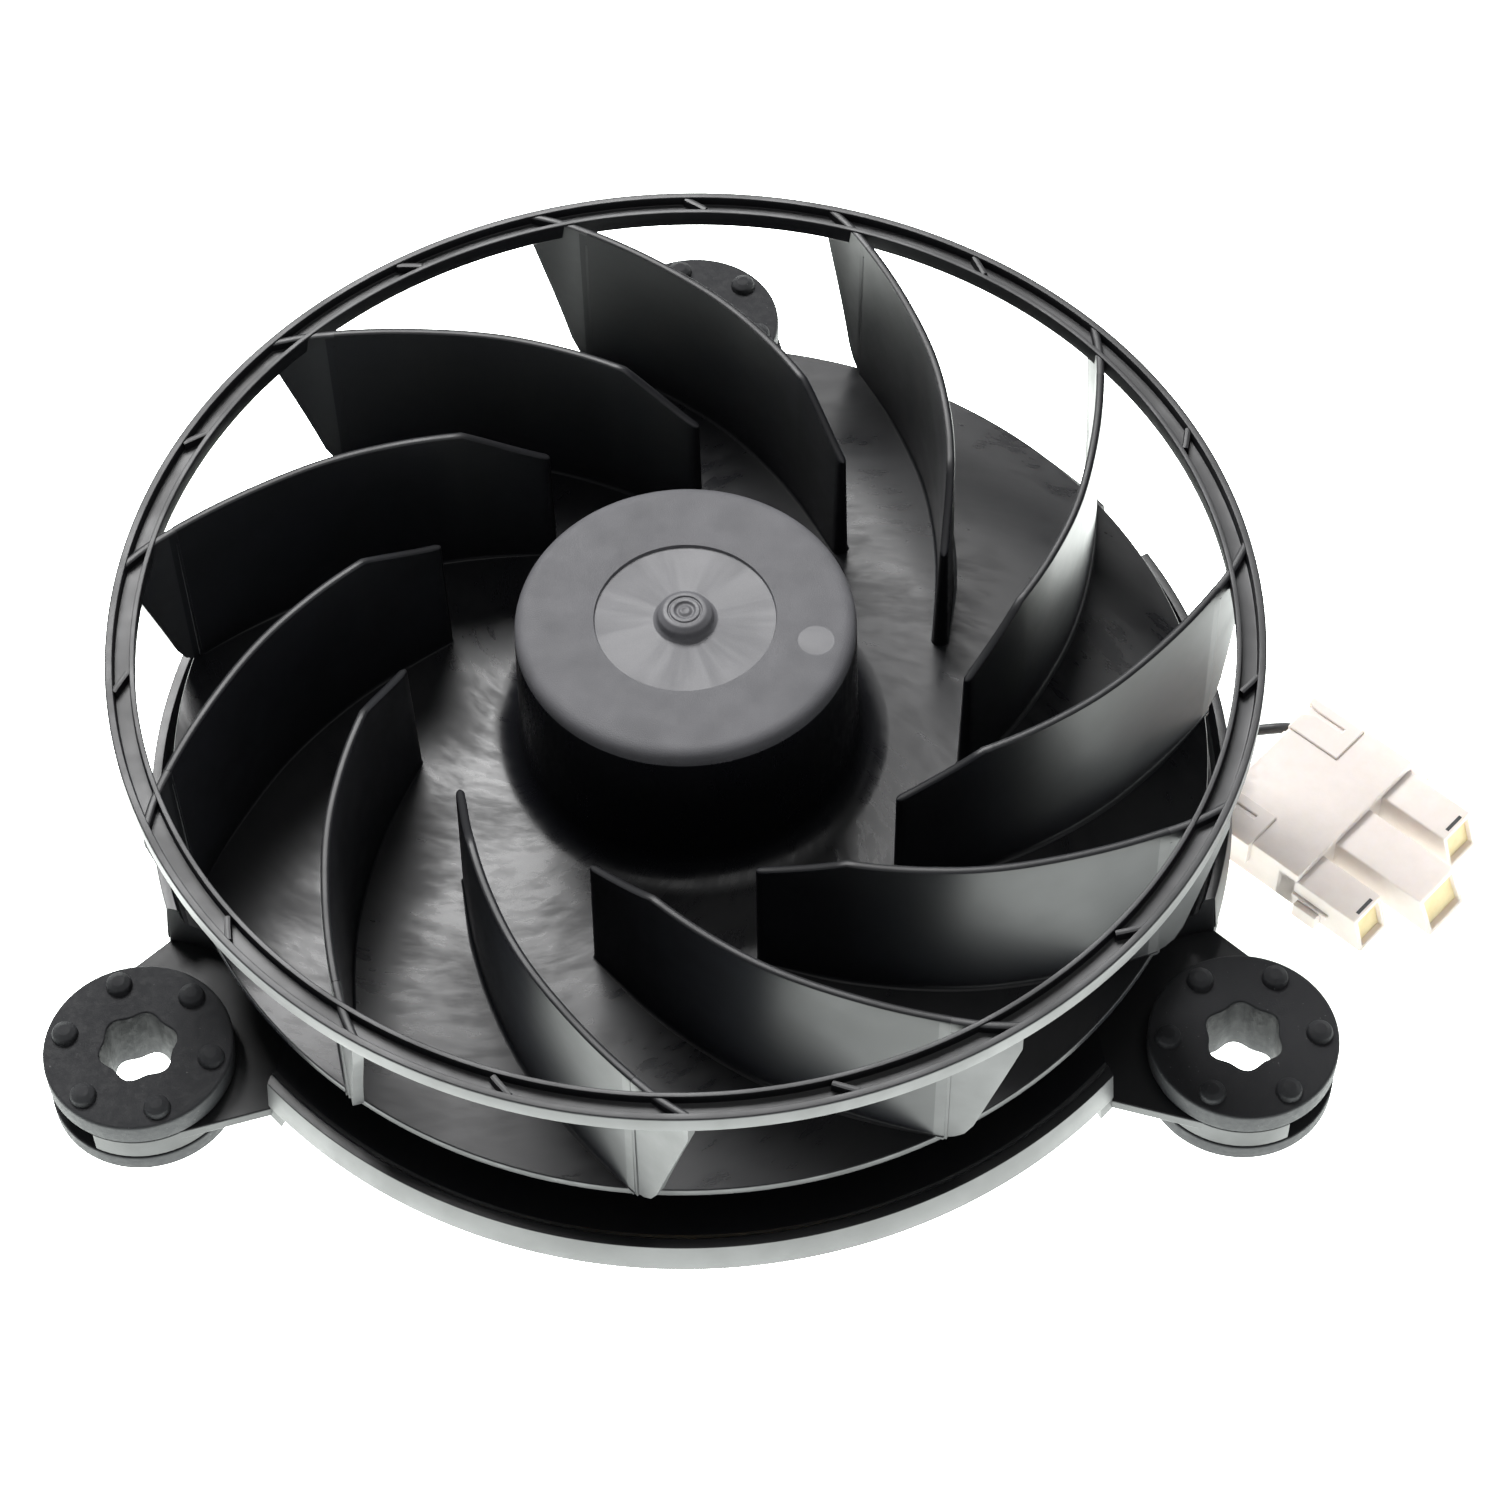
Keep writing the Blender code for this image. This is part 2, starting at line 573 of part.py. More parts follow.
def lead_route(name):
    """The free part of a lead: down through the floor slot, one fold lying
    under the pan, then out to the plug."""
    rest = LEAD_REST
    if name == "black":
        return [
            (34.0, 6.6, FLOOR_Z), (34.0, 6.6, 5.0), (34.4, 6.9, 3.0), (35.6, 7.9, 1.4),
            (38.0, 9.7, rest), (41.4, 11.8, rest), (44.6, 13.8, rest), (45.8, 17.0, rest),
            (44.4, 20.2, rest), (41.0, 21.3, rest), (37.2, 21.2, rest), (33.8, 22.5, rest),
            (32.4, 25.8, rest), (33.9, 29.0, rest), (37.4, 30.0, rest), (41.9, 27.9, rest),
            (46.5, 23.8, rest), (50.2, 18.2, rest), (53.6, 13.2, rest + 0.1),
            (56.8, 10.5, 1.5), (59.4, 9.75, 2.9), (61.9, 9.85, 3.25),
            plug_point(-12.2, 16.0, 3.25), plug_point(-9.6, 16.3, 3.2),
        ]
    return [
        (34.0, 2.6, FLOOR_Z), (34.0, 2.6, 5.0), (34.4, 2.2, 3.0), (35.4, 1.0, 1.4),
        (36.8, -1.2, rest), (38.5, -4.6, rest), (39.3, -8.4, rest), (38.0, -11.8, rest),
        (34.8, -13.4, rest), (31.2, -14.2, rest), (28.8, -16.8, rest), (29.2, -20.3, rest),
        (32.2, -22.5, rest), (36.2, -22.4, rest), (40.2, -20.4, rest), (43.2, -16.8, rest),
        (45.0, -12.2, rest), (46.4, -6.8, rest), (48.2, -2.2, 1.1), (51.2, 0.7, 2.4),
        plug_point(-13.0, 2.7, 3.25), plug_point(-9.6, 2.7, 3.2),
    ]


def held_route(name):
    """The part of a lead between the circuit board and the floor slot."""
    y_board, y = (4.2, 6.6) if name == "black" else (2.0, 2.6)
    low = FLOOR_Z + FLOOR_T + LEAD_D / 2 + GAP
    return [
        (16.2, y_board, low + 1.2), (18.5, y_board + (y - y_board) * 0.15, low + 0.5),
        (22.0, y_board + (y - y_board) * 0.4, low), (26.0, y_board + (y - y_board) * 0.8, low),
        (30.2, y, low), (32.4, y, low - 0.2), (33.7, y, low - 1.0), (34.0, y, FLOOR_Z + GAP),
    ]


def smooth_curve(points, steps=12):
    """A Catmull-Rom curve through points."""
    pts = [Vector(p) for p in points]
    pts = [pts[0] * 2 - pts[1]] + pts + [pts[-1] * 2 - pts[-2]]
    curve = []
    for a, b, c, d in zip(pts, pts[1:], pts[2:], pts[3:]):
        for k in range(steps):
            t = k / steps
            curve.append(0.5 * (2 * b + (c - a) * t + (2 * a - 5 * b + 4 * c - d) * t**2
                                + (3 * b - a - 3 * c + d) * t**3))
    return curve + [pts[-2]]


def evenly(points, spacing):
    """Points at an even spacing along a line, with its two ends among them."""
    reached = [0.0]
    for a, b in zip(points, points[1:]):
        reached.append(reached[-1] + (b - a).length)
    count = round(reached[-1] / spacing)
    even, i = [points[0]], 0
    for k in range(1, count):
        target = reached[-1] * k / count
        while reached[i + 1] < target:
            i += 1
        share = (target - reached[i]) / (reached[i + 1] - reached[i])
        even.append(points[i].lerp(points[i + 1], share))
    return even + [points[-1]]


def place_lead(name, route, finish):
    """A lead along a smooth curve through its route, never below the ground."""
    data = bpy.data.curves.new(name, "CURVE")
    data.dimensions = "3D"
    data.bevel_depth = LEAD_D / 2 * MM
    data.bevel_resolution = 2
    data.use_fill_caps = True
    points = evenly(smooth_curve(route), 2 * LEAD_D)
    spline = data.splines.new("POLY")
    spline.points.add(len(points) - 1)
    for point, (x, y, z) in zip(spline.points, points):
        point.co = (x * MM, y * MM, max(z, LEAD_REST) * MM, 1.0)
    data.materials.append(look(finish))
    obj = bpy.data.objects.new(name, data)
    bpy.context.scene.collection.objects.link(obj)


# ------------------------------------------------------------------ assembly
def build():
    for obj in list(bpy.data.objects):
        bpy.data.objects.remove(obj)

    rotor = bpy.data.objects.new("rotor_axis", None)
    bpy.context.scene.collection.objects.link(rotor)

    # fixed: the frame and what sits on it
    place("base_frame", frame_mesh(), "frame_plastic")
    rubber = grommet_mesh()
    for side, angle in EAR_ANGLES.items():
        x, y = polar(EAR_PITCH_R, angle)
        ring = spun(rubber.copy(), GROMMET_TURN[side])
        place(f"grommet_{side}", ring, "rubber", at=(x, y, 0.0))
    place("bearing_tube", turned([
        (TUBE_R, 29.0), (TUBE_R - TUBE_T, 29.0), (TUBE_R - TUBE_T, 4.4), (7.0, 4.4),
        (7.0, FLOOR_Z - GAP), (TUBE_R, FLOOR_Z - GAP),
    ], 24), "brass")
    place("thrust_cap", turned([(0.0, 3.4), (3.2, 3.4), (3.2, 4.9), (0.0, 4.9)], 20), "nylon")
    for name, z0, z1 in (("lower_bearing", 6.4, 10.4), ("upper_bearing", 24.2, 28.4)):
        place(name, turned([(SHAFT_R + GAP, z0), (3.3, z0), (3.3, z1), (SHAFT_R + GAP, z1)], 24), "bronze")
    place("stator_core", stator_mesh(), "lamination")
    place("insulator_upper", insulator_mesh(27.8, 29.4, 27.85), "insulator")
    place("insulator_lower", insulator_mesh(14.6, 16.2, 15.35), "insulator")
    winding = coil_mesh()
    for k in range(4):
        place(f"coil_{k + 1}", spun(winding.copy(), 90.0 * k - 45.0), "copper")

    board = cut(turned([(7.7, PCB_Z - 1.0), (PCB_R, PCB_Z - 1.0), (PCB_R, PCB_Z), (7.7, PCB_Z)], 36),
                gathered([shifted(turned([(0.0, 9.0), (0.5, 9.0), (0.5, 11.0), (0.0, 11.0)], 8), x, y)
                          for x, y in ((13.4, 4.2), (13.4, 2.0))]))
    place("motor_board", board, "board")
    place("hall_sensor", prism([(9.0, -0.9), (12.2, -0.9), (12.2, 0.9), (9.0, 0.9)],
                               PCB_Z + GAP, PCB_Z + 2.2), "chip")
    place("driver_chip", spun(prism([(8.6, -2.4), (13.0, -2.4), (13.0, 2.4), (8.6, 2.4)],
                                    PCB_Z + GAP, PCB_Z + 1.9), 135.0), "chip")

    # turning: the wheel and what is pressed into it
    place("impeller", impeller_mesh(), "black_plastic", rotor)
    place("rotor_cup", turned([
        (CUP_R, 34.9), (4.6, 34.9), (4.6, 34.9 - CUP_T), (CUP_R - CUP_T, 34.9 - CUP_T),
        (CUP_R - CUP_T, 16.0), (CUP_R, 16.0),
    ], 32), "steel", rotor)
    place("rotor_magnet", turned([
        (MAGNET_R, 31.5), (MAGNET_R - MAGNET_T, 31.5), (MAGNET_R - MAGNET_T, 15.2), (MAGNET_R, 15.2),
    ], 32), "ferrite", rotor)
    place("shaft_bushing", turned([
        (2.35, 35.9), (SHAFT_R + GAP, 35.9), (SHAFT_R + GAP, 30.9), (2.35, 30.9),
    ], 20), "brass", rotor)
    place("shaft", turned([
        (0.0, 35.8), (1.3, 35.8), (SHAFT_R, 35.5), (SHAFT_R, 6.1), (1.1, 6.1), (1.1, 5.6),
        (SHAFT_R, 5.6), (SHAFT_R, 5.5), (1.0, 5.2), (0.0, 5.2),
    ], 20), "steel", rotor)
    clip = cut(turned([(1.4, 5.72), (2.7, 5.72), (2.7, 5.98), (1.4, 5.98)], 20),
               prism([(0.0, -0.7), (4.0, -0.7), (4.0, 0.7), (0.0, 0.7)], 5.0, 7.0))
    place("retaining_clip", clip, "steel", rotor)

    # the plug and its leads
    frame = plug_matrix()
    place("connector_housing", moved(plug_mesh(), frame), "nylon")
    for side in ("left", "right"):
        place(f"contact_{side}", moved(contact_mesh(side), frame), "tin")
    for name in ("black", "red"):
        place_lead(f"lead_{name}_held", held_route(name), f"lead_{name}")
        place_lead(f"lead_{name}", lead_route(name), f"lead_{name}")


build()
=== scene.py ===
"""Blower motor wheel on its outer-rotor motor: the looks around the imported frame.

Lengths below are millimetres and become metres in solid() and wire().  The wheel's
axis is Z, the grommets stand on z = 0, +X points to the plug and +Y to the rear grommet.
"""

import math

import bmesh
import bpy
from mathutils import Matrix, Vector


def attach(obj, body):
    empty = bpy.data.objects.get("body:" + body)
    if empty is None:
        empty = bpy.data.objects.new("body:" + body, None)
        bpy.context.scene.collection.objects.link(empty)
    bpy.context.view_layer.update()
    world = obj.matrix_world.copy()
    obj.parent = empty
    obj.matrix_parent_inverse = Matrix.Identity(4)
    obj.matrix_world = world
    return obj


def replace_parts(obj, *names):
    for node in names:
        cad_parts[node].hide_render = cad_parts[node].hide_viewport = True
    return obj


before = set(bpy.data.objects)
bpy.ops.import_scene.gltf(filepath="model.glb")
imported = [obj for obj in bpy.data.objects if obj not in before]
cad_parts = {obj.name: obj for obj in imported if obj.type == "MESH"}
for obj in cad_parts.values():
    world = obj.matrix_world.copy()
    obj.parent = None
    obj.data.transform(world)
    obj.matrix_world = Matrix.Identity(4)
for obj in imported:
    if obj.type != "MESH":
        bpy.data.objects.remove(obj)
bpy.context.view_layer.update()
MM = 0.001


# -------------------------------------------------------------------- camera
CAMERA_DISTANCE, CAMERA_RIGHT, CAMERA_DOWN = 392.3, 6.16, 13.33
CAMERA_AIM = (0.0, 0.0, 37.0)           # the middle of the ring's top
LENS, SENSOR = 94.91, 36.0


def add_camera():
    turn, rise, roll = math.radians(0.73), math.radians(54.54), math.radians(-1.17)
    right = Vector((math.cos(turn), math.sin(turn), 0.0))
    back = Vector((math.sin(turn) * math.cos(rise), -math.cos(turn) * math.cos(rise), math.sin(rise)))
    up = back.cross(right)
    across = right * math.cos(roll) + up * math.sin(roll)
    upward = up * math.cos(roll) - right * math.sin(roll)
    place = (back * CAMERA_DISTANCE + right * CAMERA_RIGHT - up * CAMERA_DOWN + Vector(CAMERA_AIM)) * MM
    data = bpy.data.cameras.new("camera")
    data.sensor_width = SENSOR
    data.lens = LENS
    data.clip_start = 0.01
    camera = bpy.data.objects.new("camera", data)
    bpy.context.scene.collection.objects.link(camera)
    camera.matrix_world = Matrix.Translation(place) @ Matrix((across, upward, back)).transposed().to_4x4()
    bpy.context.scene.camera = camera


add_camera()


# ----------------------------------------------------------------- materials
class Paint:
    """A Principled material built node by node."""

    def __init__(self, name, **fixed):
        self.material = bpy.data.materials.new(name)
        self.material.use_nodes = True
        self.tree = self.material.node_tree
        self.shader = self.tree.nodes["Principled BSDF"]
        for key, value in fixed.items():
            self.shader.inputs[key.replace("_", " ")].default_value = value
        self.place = None

    def node(self, kind, inputs=(), **settings):
        node = self.tree.nodes.new(kind)
        for key, value in settings.items():
            setattr(node, key, value)
        for key, value in dict(inputs).items():
            if isinstance(value, bpy.types.NodeSocket):
                self.tree.links.new(value, node.inputs[key])
            else:
                node.inputs[key].default_value = value
        return node

    def math(self, operation, a, b=0.0):
        return self.node("ShaderNodeMath", {0: a, 1: b}, operation=operation).outputs[0]

    def weighted(self, a, share_a, b, share_b):
        """The sum of two values, each with its share."""
        return self.math("ADD", self.math("MULTIPLY", a, share_a), self.math("MULTIPLY", b, share_b))

    def vector(self, operation, a, b=(0.0, 0.0, 0.0)):
        """A vector operation: a length or a distance gives a number, the rest a vector."""
        outputs = self.node("ShaderNodeVectorMath", {0: a, 1: b}, operation=operation).outputs
        return outputs["Value" if operation in ("LENGTH", "DISTANCE") else "Vector"]

    def millimetres(self):
        """The point on the piece, in millimetres."""
        if self.place is None:
            coords = self.node("ShaderNodeTexCoord").outputs["Object"]
            self.place = self.vector("MULTIPLY", coords, (1000.0, 1000.0, 1000.0))
        return self.place

    def plan(self):
        """The point's place in plan, from the wheel's axis."""
        return self.vector("MULTIPLY", self.millimetres(), (1.0, 1.0, 0.0))

    def noise(self, scale, detail=2.0, rough=0.5, at=None, distortion=0.0):
        return self.node("ShaderNodeTexNoise", {
            "Vector": at or self.millimetres(), "Scale": scale, "Detail": detail,
            "Roughness": rough, "Distortion": distortion}).outputs["Fac"]

    def ramp(self, value, low, high, to_low=0.0, to_high=1.0, smooth=True):
        return self.node("ShaderNodeMapRange", {0: value, 1: low, 2: high, 3: to_low, 4: to_high},
                         interpolation_type="SMOOTHSTEP" if smooth else "LINEAR").outputs[0]

    def colours(self, value, *stops):
        ramp = self.node("ShaderNodeValToRGB", {"Fac": value})
        band = ramp.color_ramp
        while len(band.elements) < len(stops):
            band.elements.new(0.5)
        for element, (at, colour) in zip(band.elements, stops):
            element.position = at
            element.color = (*colour, 1.0)
        return ramp.outputs["Color"]

    def swirl(self, twist, around, along):
        """Coordinates that stretch a pattern along spirals about the wheel's axis."""
        radius = self.vector("LENGTH", self.plan())
        heading = self.vector("NORMALIZE", self.plan())
        angle = self.math("MULTIPLY", radius, twist)
        turned = self.node("ShaderNodeVectorRotate", {"Vector": heading, "Angle": angle},
                           rotation_type="Z_AXIS").outputs[0]
        scaled = self.node("ShaderNodeVectorMath", {0: turned, "Scale": around}, operation="SCALE").outputs[0]
        height = self.node("ShaderNodeSeparateXYZ", {0: self.millimetres()}).outputs["Z"]
        lift = self.weighted(radius, along, height, 0.05)
        return self.vector("ADD", scaled, self.node("ShaderNodeCombineXYZ", {"Z": lift}).outputs[0])

    def bump(self, height, strength, distance):
        relief = {"Height": height, "Strength": strength, "Distance": distance * MM}
        self.set("Normal", self.node("ShaderNodeBump", relief).outputs[0])

    def set(self, key, value):
        self.tree.links.new(value, self.shader.inputs[key])


def moulded_black(name, tint, low, high, gloss=0.5, spread=0.16, swirled=False):
    """Black moulded plastic: satin, clouded, with a faint grain.

    Its roughness lies between low and high; swirled adds the fine spiral streaks that
    melt flow leaves on the wheel.
    """
    paint = Paint(name, Specular_IOR_Level=gloss)
    cloud = paint.noise(0.09, 3.0, 0.55)
    if swirled:
        at = paint.swirl(0.030, 2.6, 0.06)
        broad = paint.noise(1.6, 5.0, 0.66, at=at, distortion=0.6)
        fine = paint.noise(7.0, 4.0, 0.62, at=at, distortion=0.3)
        flow = paint.weighted(broad, 0.55, fine, 0.45)
    else:
        flow = paint.noise(0.12, 4.0, 0.6)
    mixed = paint.weighted(flow, 0.68, cloud, 0.32)
    dark, light = tuple(c * 0.75 for c in tint), tuple(c * 1.5 for c in tint)
    paint.set("Base Color", paint.colours(mixed, (0.36, dark), (0.66, light)))
    paint.set("Roughness", paint.ramp(mixed, 0.5 - spread, 0.5 + spread, high, low))
    paint.bump(paint.noise(1.5, 3.0, 0.5), 0.08, 0.03)
    return paint.material


RECESS_R = 9.1                          # the round recess in the hub's top
MARK_MIDDLE, MARK_R = (12.9, -3.05, 37.0), 1.82     # the smooth disc beside it


def hub_skin():
    """The hub: spark-eroded grain on top, smoother in the recess and on the disc.

    The top's grey base colour, far lighter than the black of the rest of the wheel, is partly
    painted sheen from the light above; the grain's mottle in it is the plastic's own.
    """
    paint = Paint("hub_grain_and_painted_sheen", Specular_IOR_Level=0.38)
    streak = paint.noise(2.3, 3.0, 0.6, at=paint.swirl(0.0, 1.0, 0.02))
    recess = paint.ramp(paint.vector("LENGTH", paint.plan()), RECESS_R - 0.05, RECESS_R + 0.05, 1.0, 0.0)
    from_mark = paint.vector("DISTANCE", paint.millimetres(), MARK_MIDDLE)
    mark = paint.ramp(from_mark, MARK_R - 0.12, MARK_R + 0.13, 1.0, 0.0)
    smooth = paint.math("MAXIMUM", recess, mark)
    grain = paint.noise(9.0, 3.0, 0.7)
    tone = paint.weighted(grain, 0.5, paint.noise(0.25, 2.0), 0.5)
    # painted sheen: this base colour lifts the hub's top far above the wheel's black, standing partly for the
    # light it catches
    paint.set("Base Color", paint.colours(tone, (0.3, (0.080, 0.080, 0.086)), (0.7, (0.118, 0.117, 0.126))))
    matt = paint.ramp(paint.noise(0.4, 3.0), 0.3, 0.7, 0.50, 0.60)
    fine = paint.ramp(streak, 0.35, 0.65, 0.43, 0.52)
    rough = paint.node("ShaderNodeMix", {"Factor": smooth, "A": matt, "B": fine}).outputs["Result"]
    paint.set("Roughness", rough)
    height = paint.math("MULTIPLY", grain, paint.ramp(smooth, 0.0, 1.0, 1.0, 0.12, smooth=False))
    paint.bump(height, 0.55, 0.10)
    return paint.material


def rubber_skin():
    """Matte black rubber with dust and a few pale specks."""
    paint = Paint("grommet_rubber", Specular_IOR_Level=0.28)
    dust = paint.noise(1.4, 6.0, 0.7)
    specks = paint.ramp(paint.noise(2.6, 2.0, 0.5), 0.72, 0.78)
    base = paint.colours(dust, (0.3, (0.011, 0.0115, 0.013)), (0.75, (0.021, 0.0215, 0.024)))
    share = paint.math("MULTIPLY", specks, 0.25)
    mix = paint.node("ShaderNodeMix", {"Factor": share, "A": base, "B": (0.22, 0.22, 0.22, 1.0)},
                     data_type="RGBA")
    paint.set("Base Color", mix.outputs[2])
    paint.set("Roughness", paint.ramp(dust, 0.3, 0.7, 0.62, 0.80))
    paint.bump(paint.noise(6.0, 3.0, 0.6), 0.35, 0.06)
    return paint.material


def ivory(name, light, dark, rough=0.42):
    """Ivory nylon with a faint mottle."""
    paint = Paint(name, Specular_IOR_Level=0.45, Subsurface_Weight=0.25, Subsurface_Scale=0.0012)
    paint.shader.inputs["Subsurface Radius"].default_value = (1.0, 0.75, 0.45)
    cloud = paint.noise(0.5, 4.0, 0.6)
    paint.set("Base Color", paint.colours(cloud, (0.3, dark), (0.7, light)))
    paint.set("Roughness", paint.ramp(paint.noise(0.9, 3.0), 0.3, 0.7, rough - 0.06, rough + 0.08))
    paint.bump(paint.noise(3.5, 3.0, 0.5), 0.18, 0.05)
    return paint.material


def plain_skin(name, dark, light, rough, metallic=0.0, scale=1.0, bump=0.15, stretch=None):
    """A mottled skin for the small pieces; stretch gives brushed or turned lines."""
    paint = Paint(name, Metallic=metallic, Specular_IOR_Level=0.5)
    at = paint.vector("MULTIPLY", paint.millimetres(), stretch) if stretch else None
    cloud = paint.noise(scale, 4.0, 0.6, at=at)
    paint.set("Base Color", paint.colours(cloud, (0.3, dark), (0.7, light)))
    paint.set("Roughness", paint.ramp(cloud, 0.3, 0.7, rough + 0.06, rough - 0.06))
    paint.bump(cloud, bump, 0.04)
    return paint.material


SKIN = {
    "wheel": moulded_black("wheel_plastic", (0.0050, 0.0052, 0.0066), 0.24, 0.46, 0.34, 0.11, swirled=True),
    "blade": moulded_black("blade_plastic", (0.0046, 0.0048, 0.0062), 0.36, 0.44, 0.30),
    "ring": moulded_black("ring_plastic", (0.0070, 0.0072, 0.0088), 0.42, 0.54, 0.52),
    "hub": hub_skin(),
    "wall": moulded_black("wall_plastic", (0.0070, 0.0072, 0.0088), 0.40, 0.52, 0.62),
    "frame": moulded_black("frame_plastic", (0.0065, 0.0068, 0.0080), 0.30, 0.42, 0.42),
    "ear": moulded_black("ear_plastic", (0.0065, 0.0068, 0.0080), 0.40, 0.52, 0.36),
    "rubber": rubber_skin(),
    "ivory": ivory("plug_ivory", (0.80, 0.73, 0.69), (0.755, 0.685, 0.64)),
    # painted shade: a darker, yellower copy of the plug's ivory, for the insides of the finger pockets
    "ivory_painted_shade": ivory("plug_inside_painted_shade", (0.80, 0.66, 0.38), (0.72, 0.57, 0.30), 0.5),
    "lead_black": plain_skin("lead_black", (0.010, 0.010, 0.012), (0.022, 0.022, 0.024), 0.38, scale=2.0),
    "lead_red": plain_skin("lead_red", (0.34, 0.012, 0.012), (0.50, 0.02, 0.02), 0.36, scale=2.0),
    "tin": plain_skin("tinned_metal", (0.42, 0.41, 0.39), (0.62, 0.61, 0.58), 0.30, 1.0, 3.0),
    "steel": plain_skin("zinc_steel", (0.42, 0.43, 0.45), (0.58, 0.58, 0.60), 0.30, 1.0, 1.2,
                        stretch=(0.4, 0.4, 6.0)),
    "ground": plain_skin("ground_steel", (0.55, 0.56, 0.58), (0.70, 0.70, 0.72), 0.16, 1.0, 4.0, 0.05,
                         stretch=(0.3, 0.3, 8.0)),
    "laminate": plain_skin("laminations", (0.20, 0.21, 0.23), (0.36, 0.37, 0.39), 0.42, 1.0, 1.0, 0.5,
                           stretch=(0.2, 0.2, 14.0)),
    "ferrite": plain_skin("ferrite", (0.045, 0.045, 0.050), (0.085, 0.085, 0.09), 0.62, 0.0, 2.5, 0.4),
    "brass": plain_skin("turned_brass", (0.60, 0.42, 0.17), (0.78, 0.58, 0.27), 0.26, 1.0, 1.0, 0.1,
                        stretch=(0.5, 0.5, 9.0)),
    "bronze": plain_skin("sintered_bronze", (0.36, 0.23, 0.12), (0.55, 0.37, 0.20), 0.50, 1.0, 5.0, 0.4),
    "copper": plain_skin("enamelled_copper", (0.50, 0.19, 0.07), (0.72, 0.33, 0.14), 0.26, 1.0, 1.0, 0.6,
                         stretch=(2.0, 2.0, 9.0)),
    "insulator": plain_skin("insulator_plastic", (0.62, 0.60, 0.50), (0.74, 0.72, 0.63), 0.45, scale=1.5),
    "board": plain_skin("board_green", (0.020, 0.085, 0.038), (0.035, 0.13, 0.06), 0.35, scale=1.2),
    "chip": plain_skin("chip_package", (0.012, 0.012, 0.013), (0.03, 0.03, 0.032), 0.5, scale=4.0),
    "nylon": plain_skin("white_nylon", (0.66, 0.64, 0.58), (0.76, 0.74, 0.69), 0.42, scale=1.5),
}


# ------------------------------------------------------------ shape building
def polar(radius, degrees, centre=(0.0, 0.0)):
    a = math.radians(degrees)
    return (centre[0] + radius * math.cos(a), centre[1] + radius * math.sin(a))


def solid(name, verts, faces, skin, body, smooth=38.0, bevel=0.0):
    """A piece from millimetre points, riding on a body.

    Edges that turn by more than smooth degrees stay sharp; bevel is their rounding.
    """
    bm = bmesh.new()
    made = [bm.verts.new(Vector(v) * MM) for v in verts]
    for face in faces:
        try:
            bm.faces.new([made[i] for i in face])
        except ValueError:
            pass
    bmesh.ops.remove_doubles(bm, verts=bm.verts, dist=1e-7)
    bmesh.ops.recalc_face_normals(bm, faces=bm.faces)
    mesh = bpy.data.meshes.new(name)
    bm.to_mesh(mesh)
    bm.free()
    mesh.materials.append(SKIN[skin])
    mesh.shade_smooth()
    mesh.set_sharp_from_angle(angle=math.radians(smooth))
    piece = bpy.data.objects.new(name, mesh)
    bpy.context.scene.collection.objects.link(piece)
    if bevel:
        edge = piece.modifiers.new("edges", "BEVEL")
        edge.width, edge.segments = bevel * MM, 3
        edge.limit_method, edge.angle_limit = "ANGLE", math.radians(35.0)
        edge.harden_normals = True
    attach(piece, body)
    return piece


def second_skin(piece, skin, where):
    """Another skin on the faces whose middle, in millimetres, answers to where."""
    piece.data.materials.append(SKIN[skin])
    for polygon in piece.data.polygons:
        if where(polygon.center / MM):
            polygon.material_index = 1


def from_axis(point):
    return math.hypot(point.x, point.y)


class Shape:
    """Points and faces gathered for one piece."""

    def __init__(self):
        self.verts, self.faces = [], []

    def grid(self, rows, close_rows=False, close_columns=False):
        """A sheet of quads through equal rows of points."""
        base, n, m = len(self.verts), len(rows), len(rows[0])
        for row in rows:
            self.verts += row
        for i in range(n if close_rows else n - 1):
            for j in range(m if close_columns else m - 1):
                a, b = base + i * m, base + (i + 1) % n * m
                k = (j + 1) % m
                self.faces.append((a + j, b + j, b + k, a + k))
        return base

    def cap(self, indices):
        self.faces.append(tuple(indices))

    def turned(self, profile, segments, centre=(0.0, 0.0)):
        """A profile of (radius, z) turned about Z; radius may be a function of the angle."""
        rows = []
        for k in range(segments):
            a = 360.0 * k / segments
            rows.append([(*polar(r(a) if callable(r) else r, a, centre), z) for r, z in profile])
        self.grid(rows, close_rows=True)
        return self

    def loft(self, sections):
        base = self.grid(sections, close_columns=True)
        n, last = len(sections[0]), base + (len(sections) - 1) * len(sections[0])
        self.cap(range(base, base + n))
        self.cap(range(last, last + n))
        return self

    def prism(self, outline, z0, z1):
        return self.loft([[(x, y, z0) for x, y in outline], [(x, y, z1) for x, y in outline]])

    def moved(self, matrix):
        self.verts = [tuple(matrix @ Vector(v)) for v in self.verts]
        return self

    def add(self, other, matrix=None):
        base = len(self.verts)
        self.verts += [tuple(matrix @ Vector(v)) for v in other.verts] if matrix else other.verts
        self.faces += [tuple(i + base for i in f) for f in other.faces]
        return self

    def piece(self, name, skin, body, **options):
        return solid(name, self.verts, self.faces, skin, body, **options)


def brick(x0, x1, y0, y1, z0, z1):
    return Shape().prism([(x0, y0), (x1, y0), (x1, y1), (x0, y1)], z0, z1)


def rounded(profile, radius=0.3, steps=4):
    """The open profile with its corners rounded; a point may carry its own radius."""
    points = [Vector(p[:2]) for p in profile]
    out = [tuple(points[0])]
    for i in range(1, len(points) - 1):
        own = profile[i][2] if len(profile[i]) > 2 else radius
        p, a, b = points[i], points[i - 1] - points[i], points[i + 1] - points[i]
        if own <= 0 or a.length < 1e-6 or b.length < 1e-6:
            out.append(tuple(p))
            continue
        bend = a.angle(b)
        reach = min(own / max(math.tan(bend / 2), 1e-3), 0.45 * a.length, 0.45 * b.length)
        start, end = p + a.normalized() * reach, p + b.normalized() * reach
        for k in range(steps + 1):
            t = k / steps
            out.append(tuple(start * (1 - t) ** 2 + p * 2 * t * (1 - t) + end * t * t))
    out.append(tuple(points[-1]))
    return out


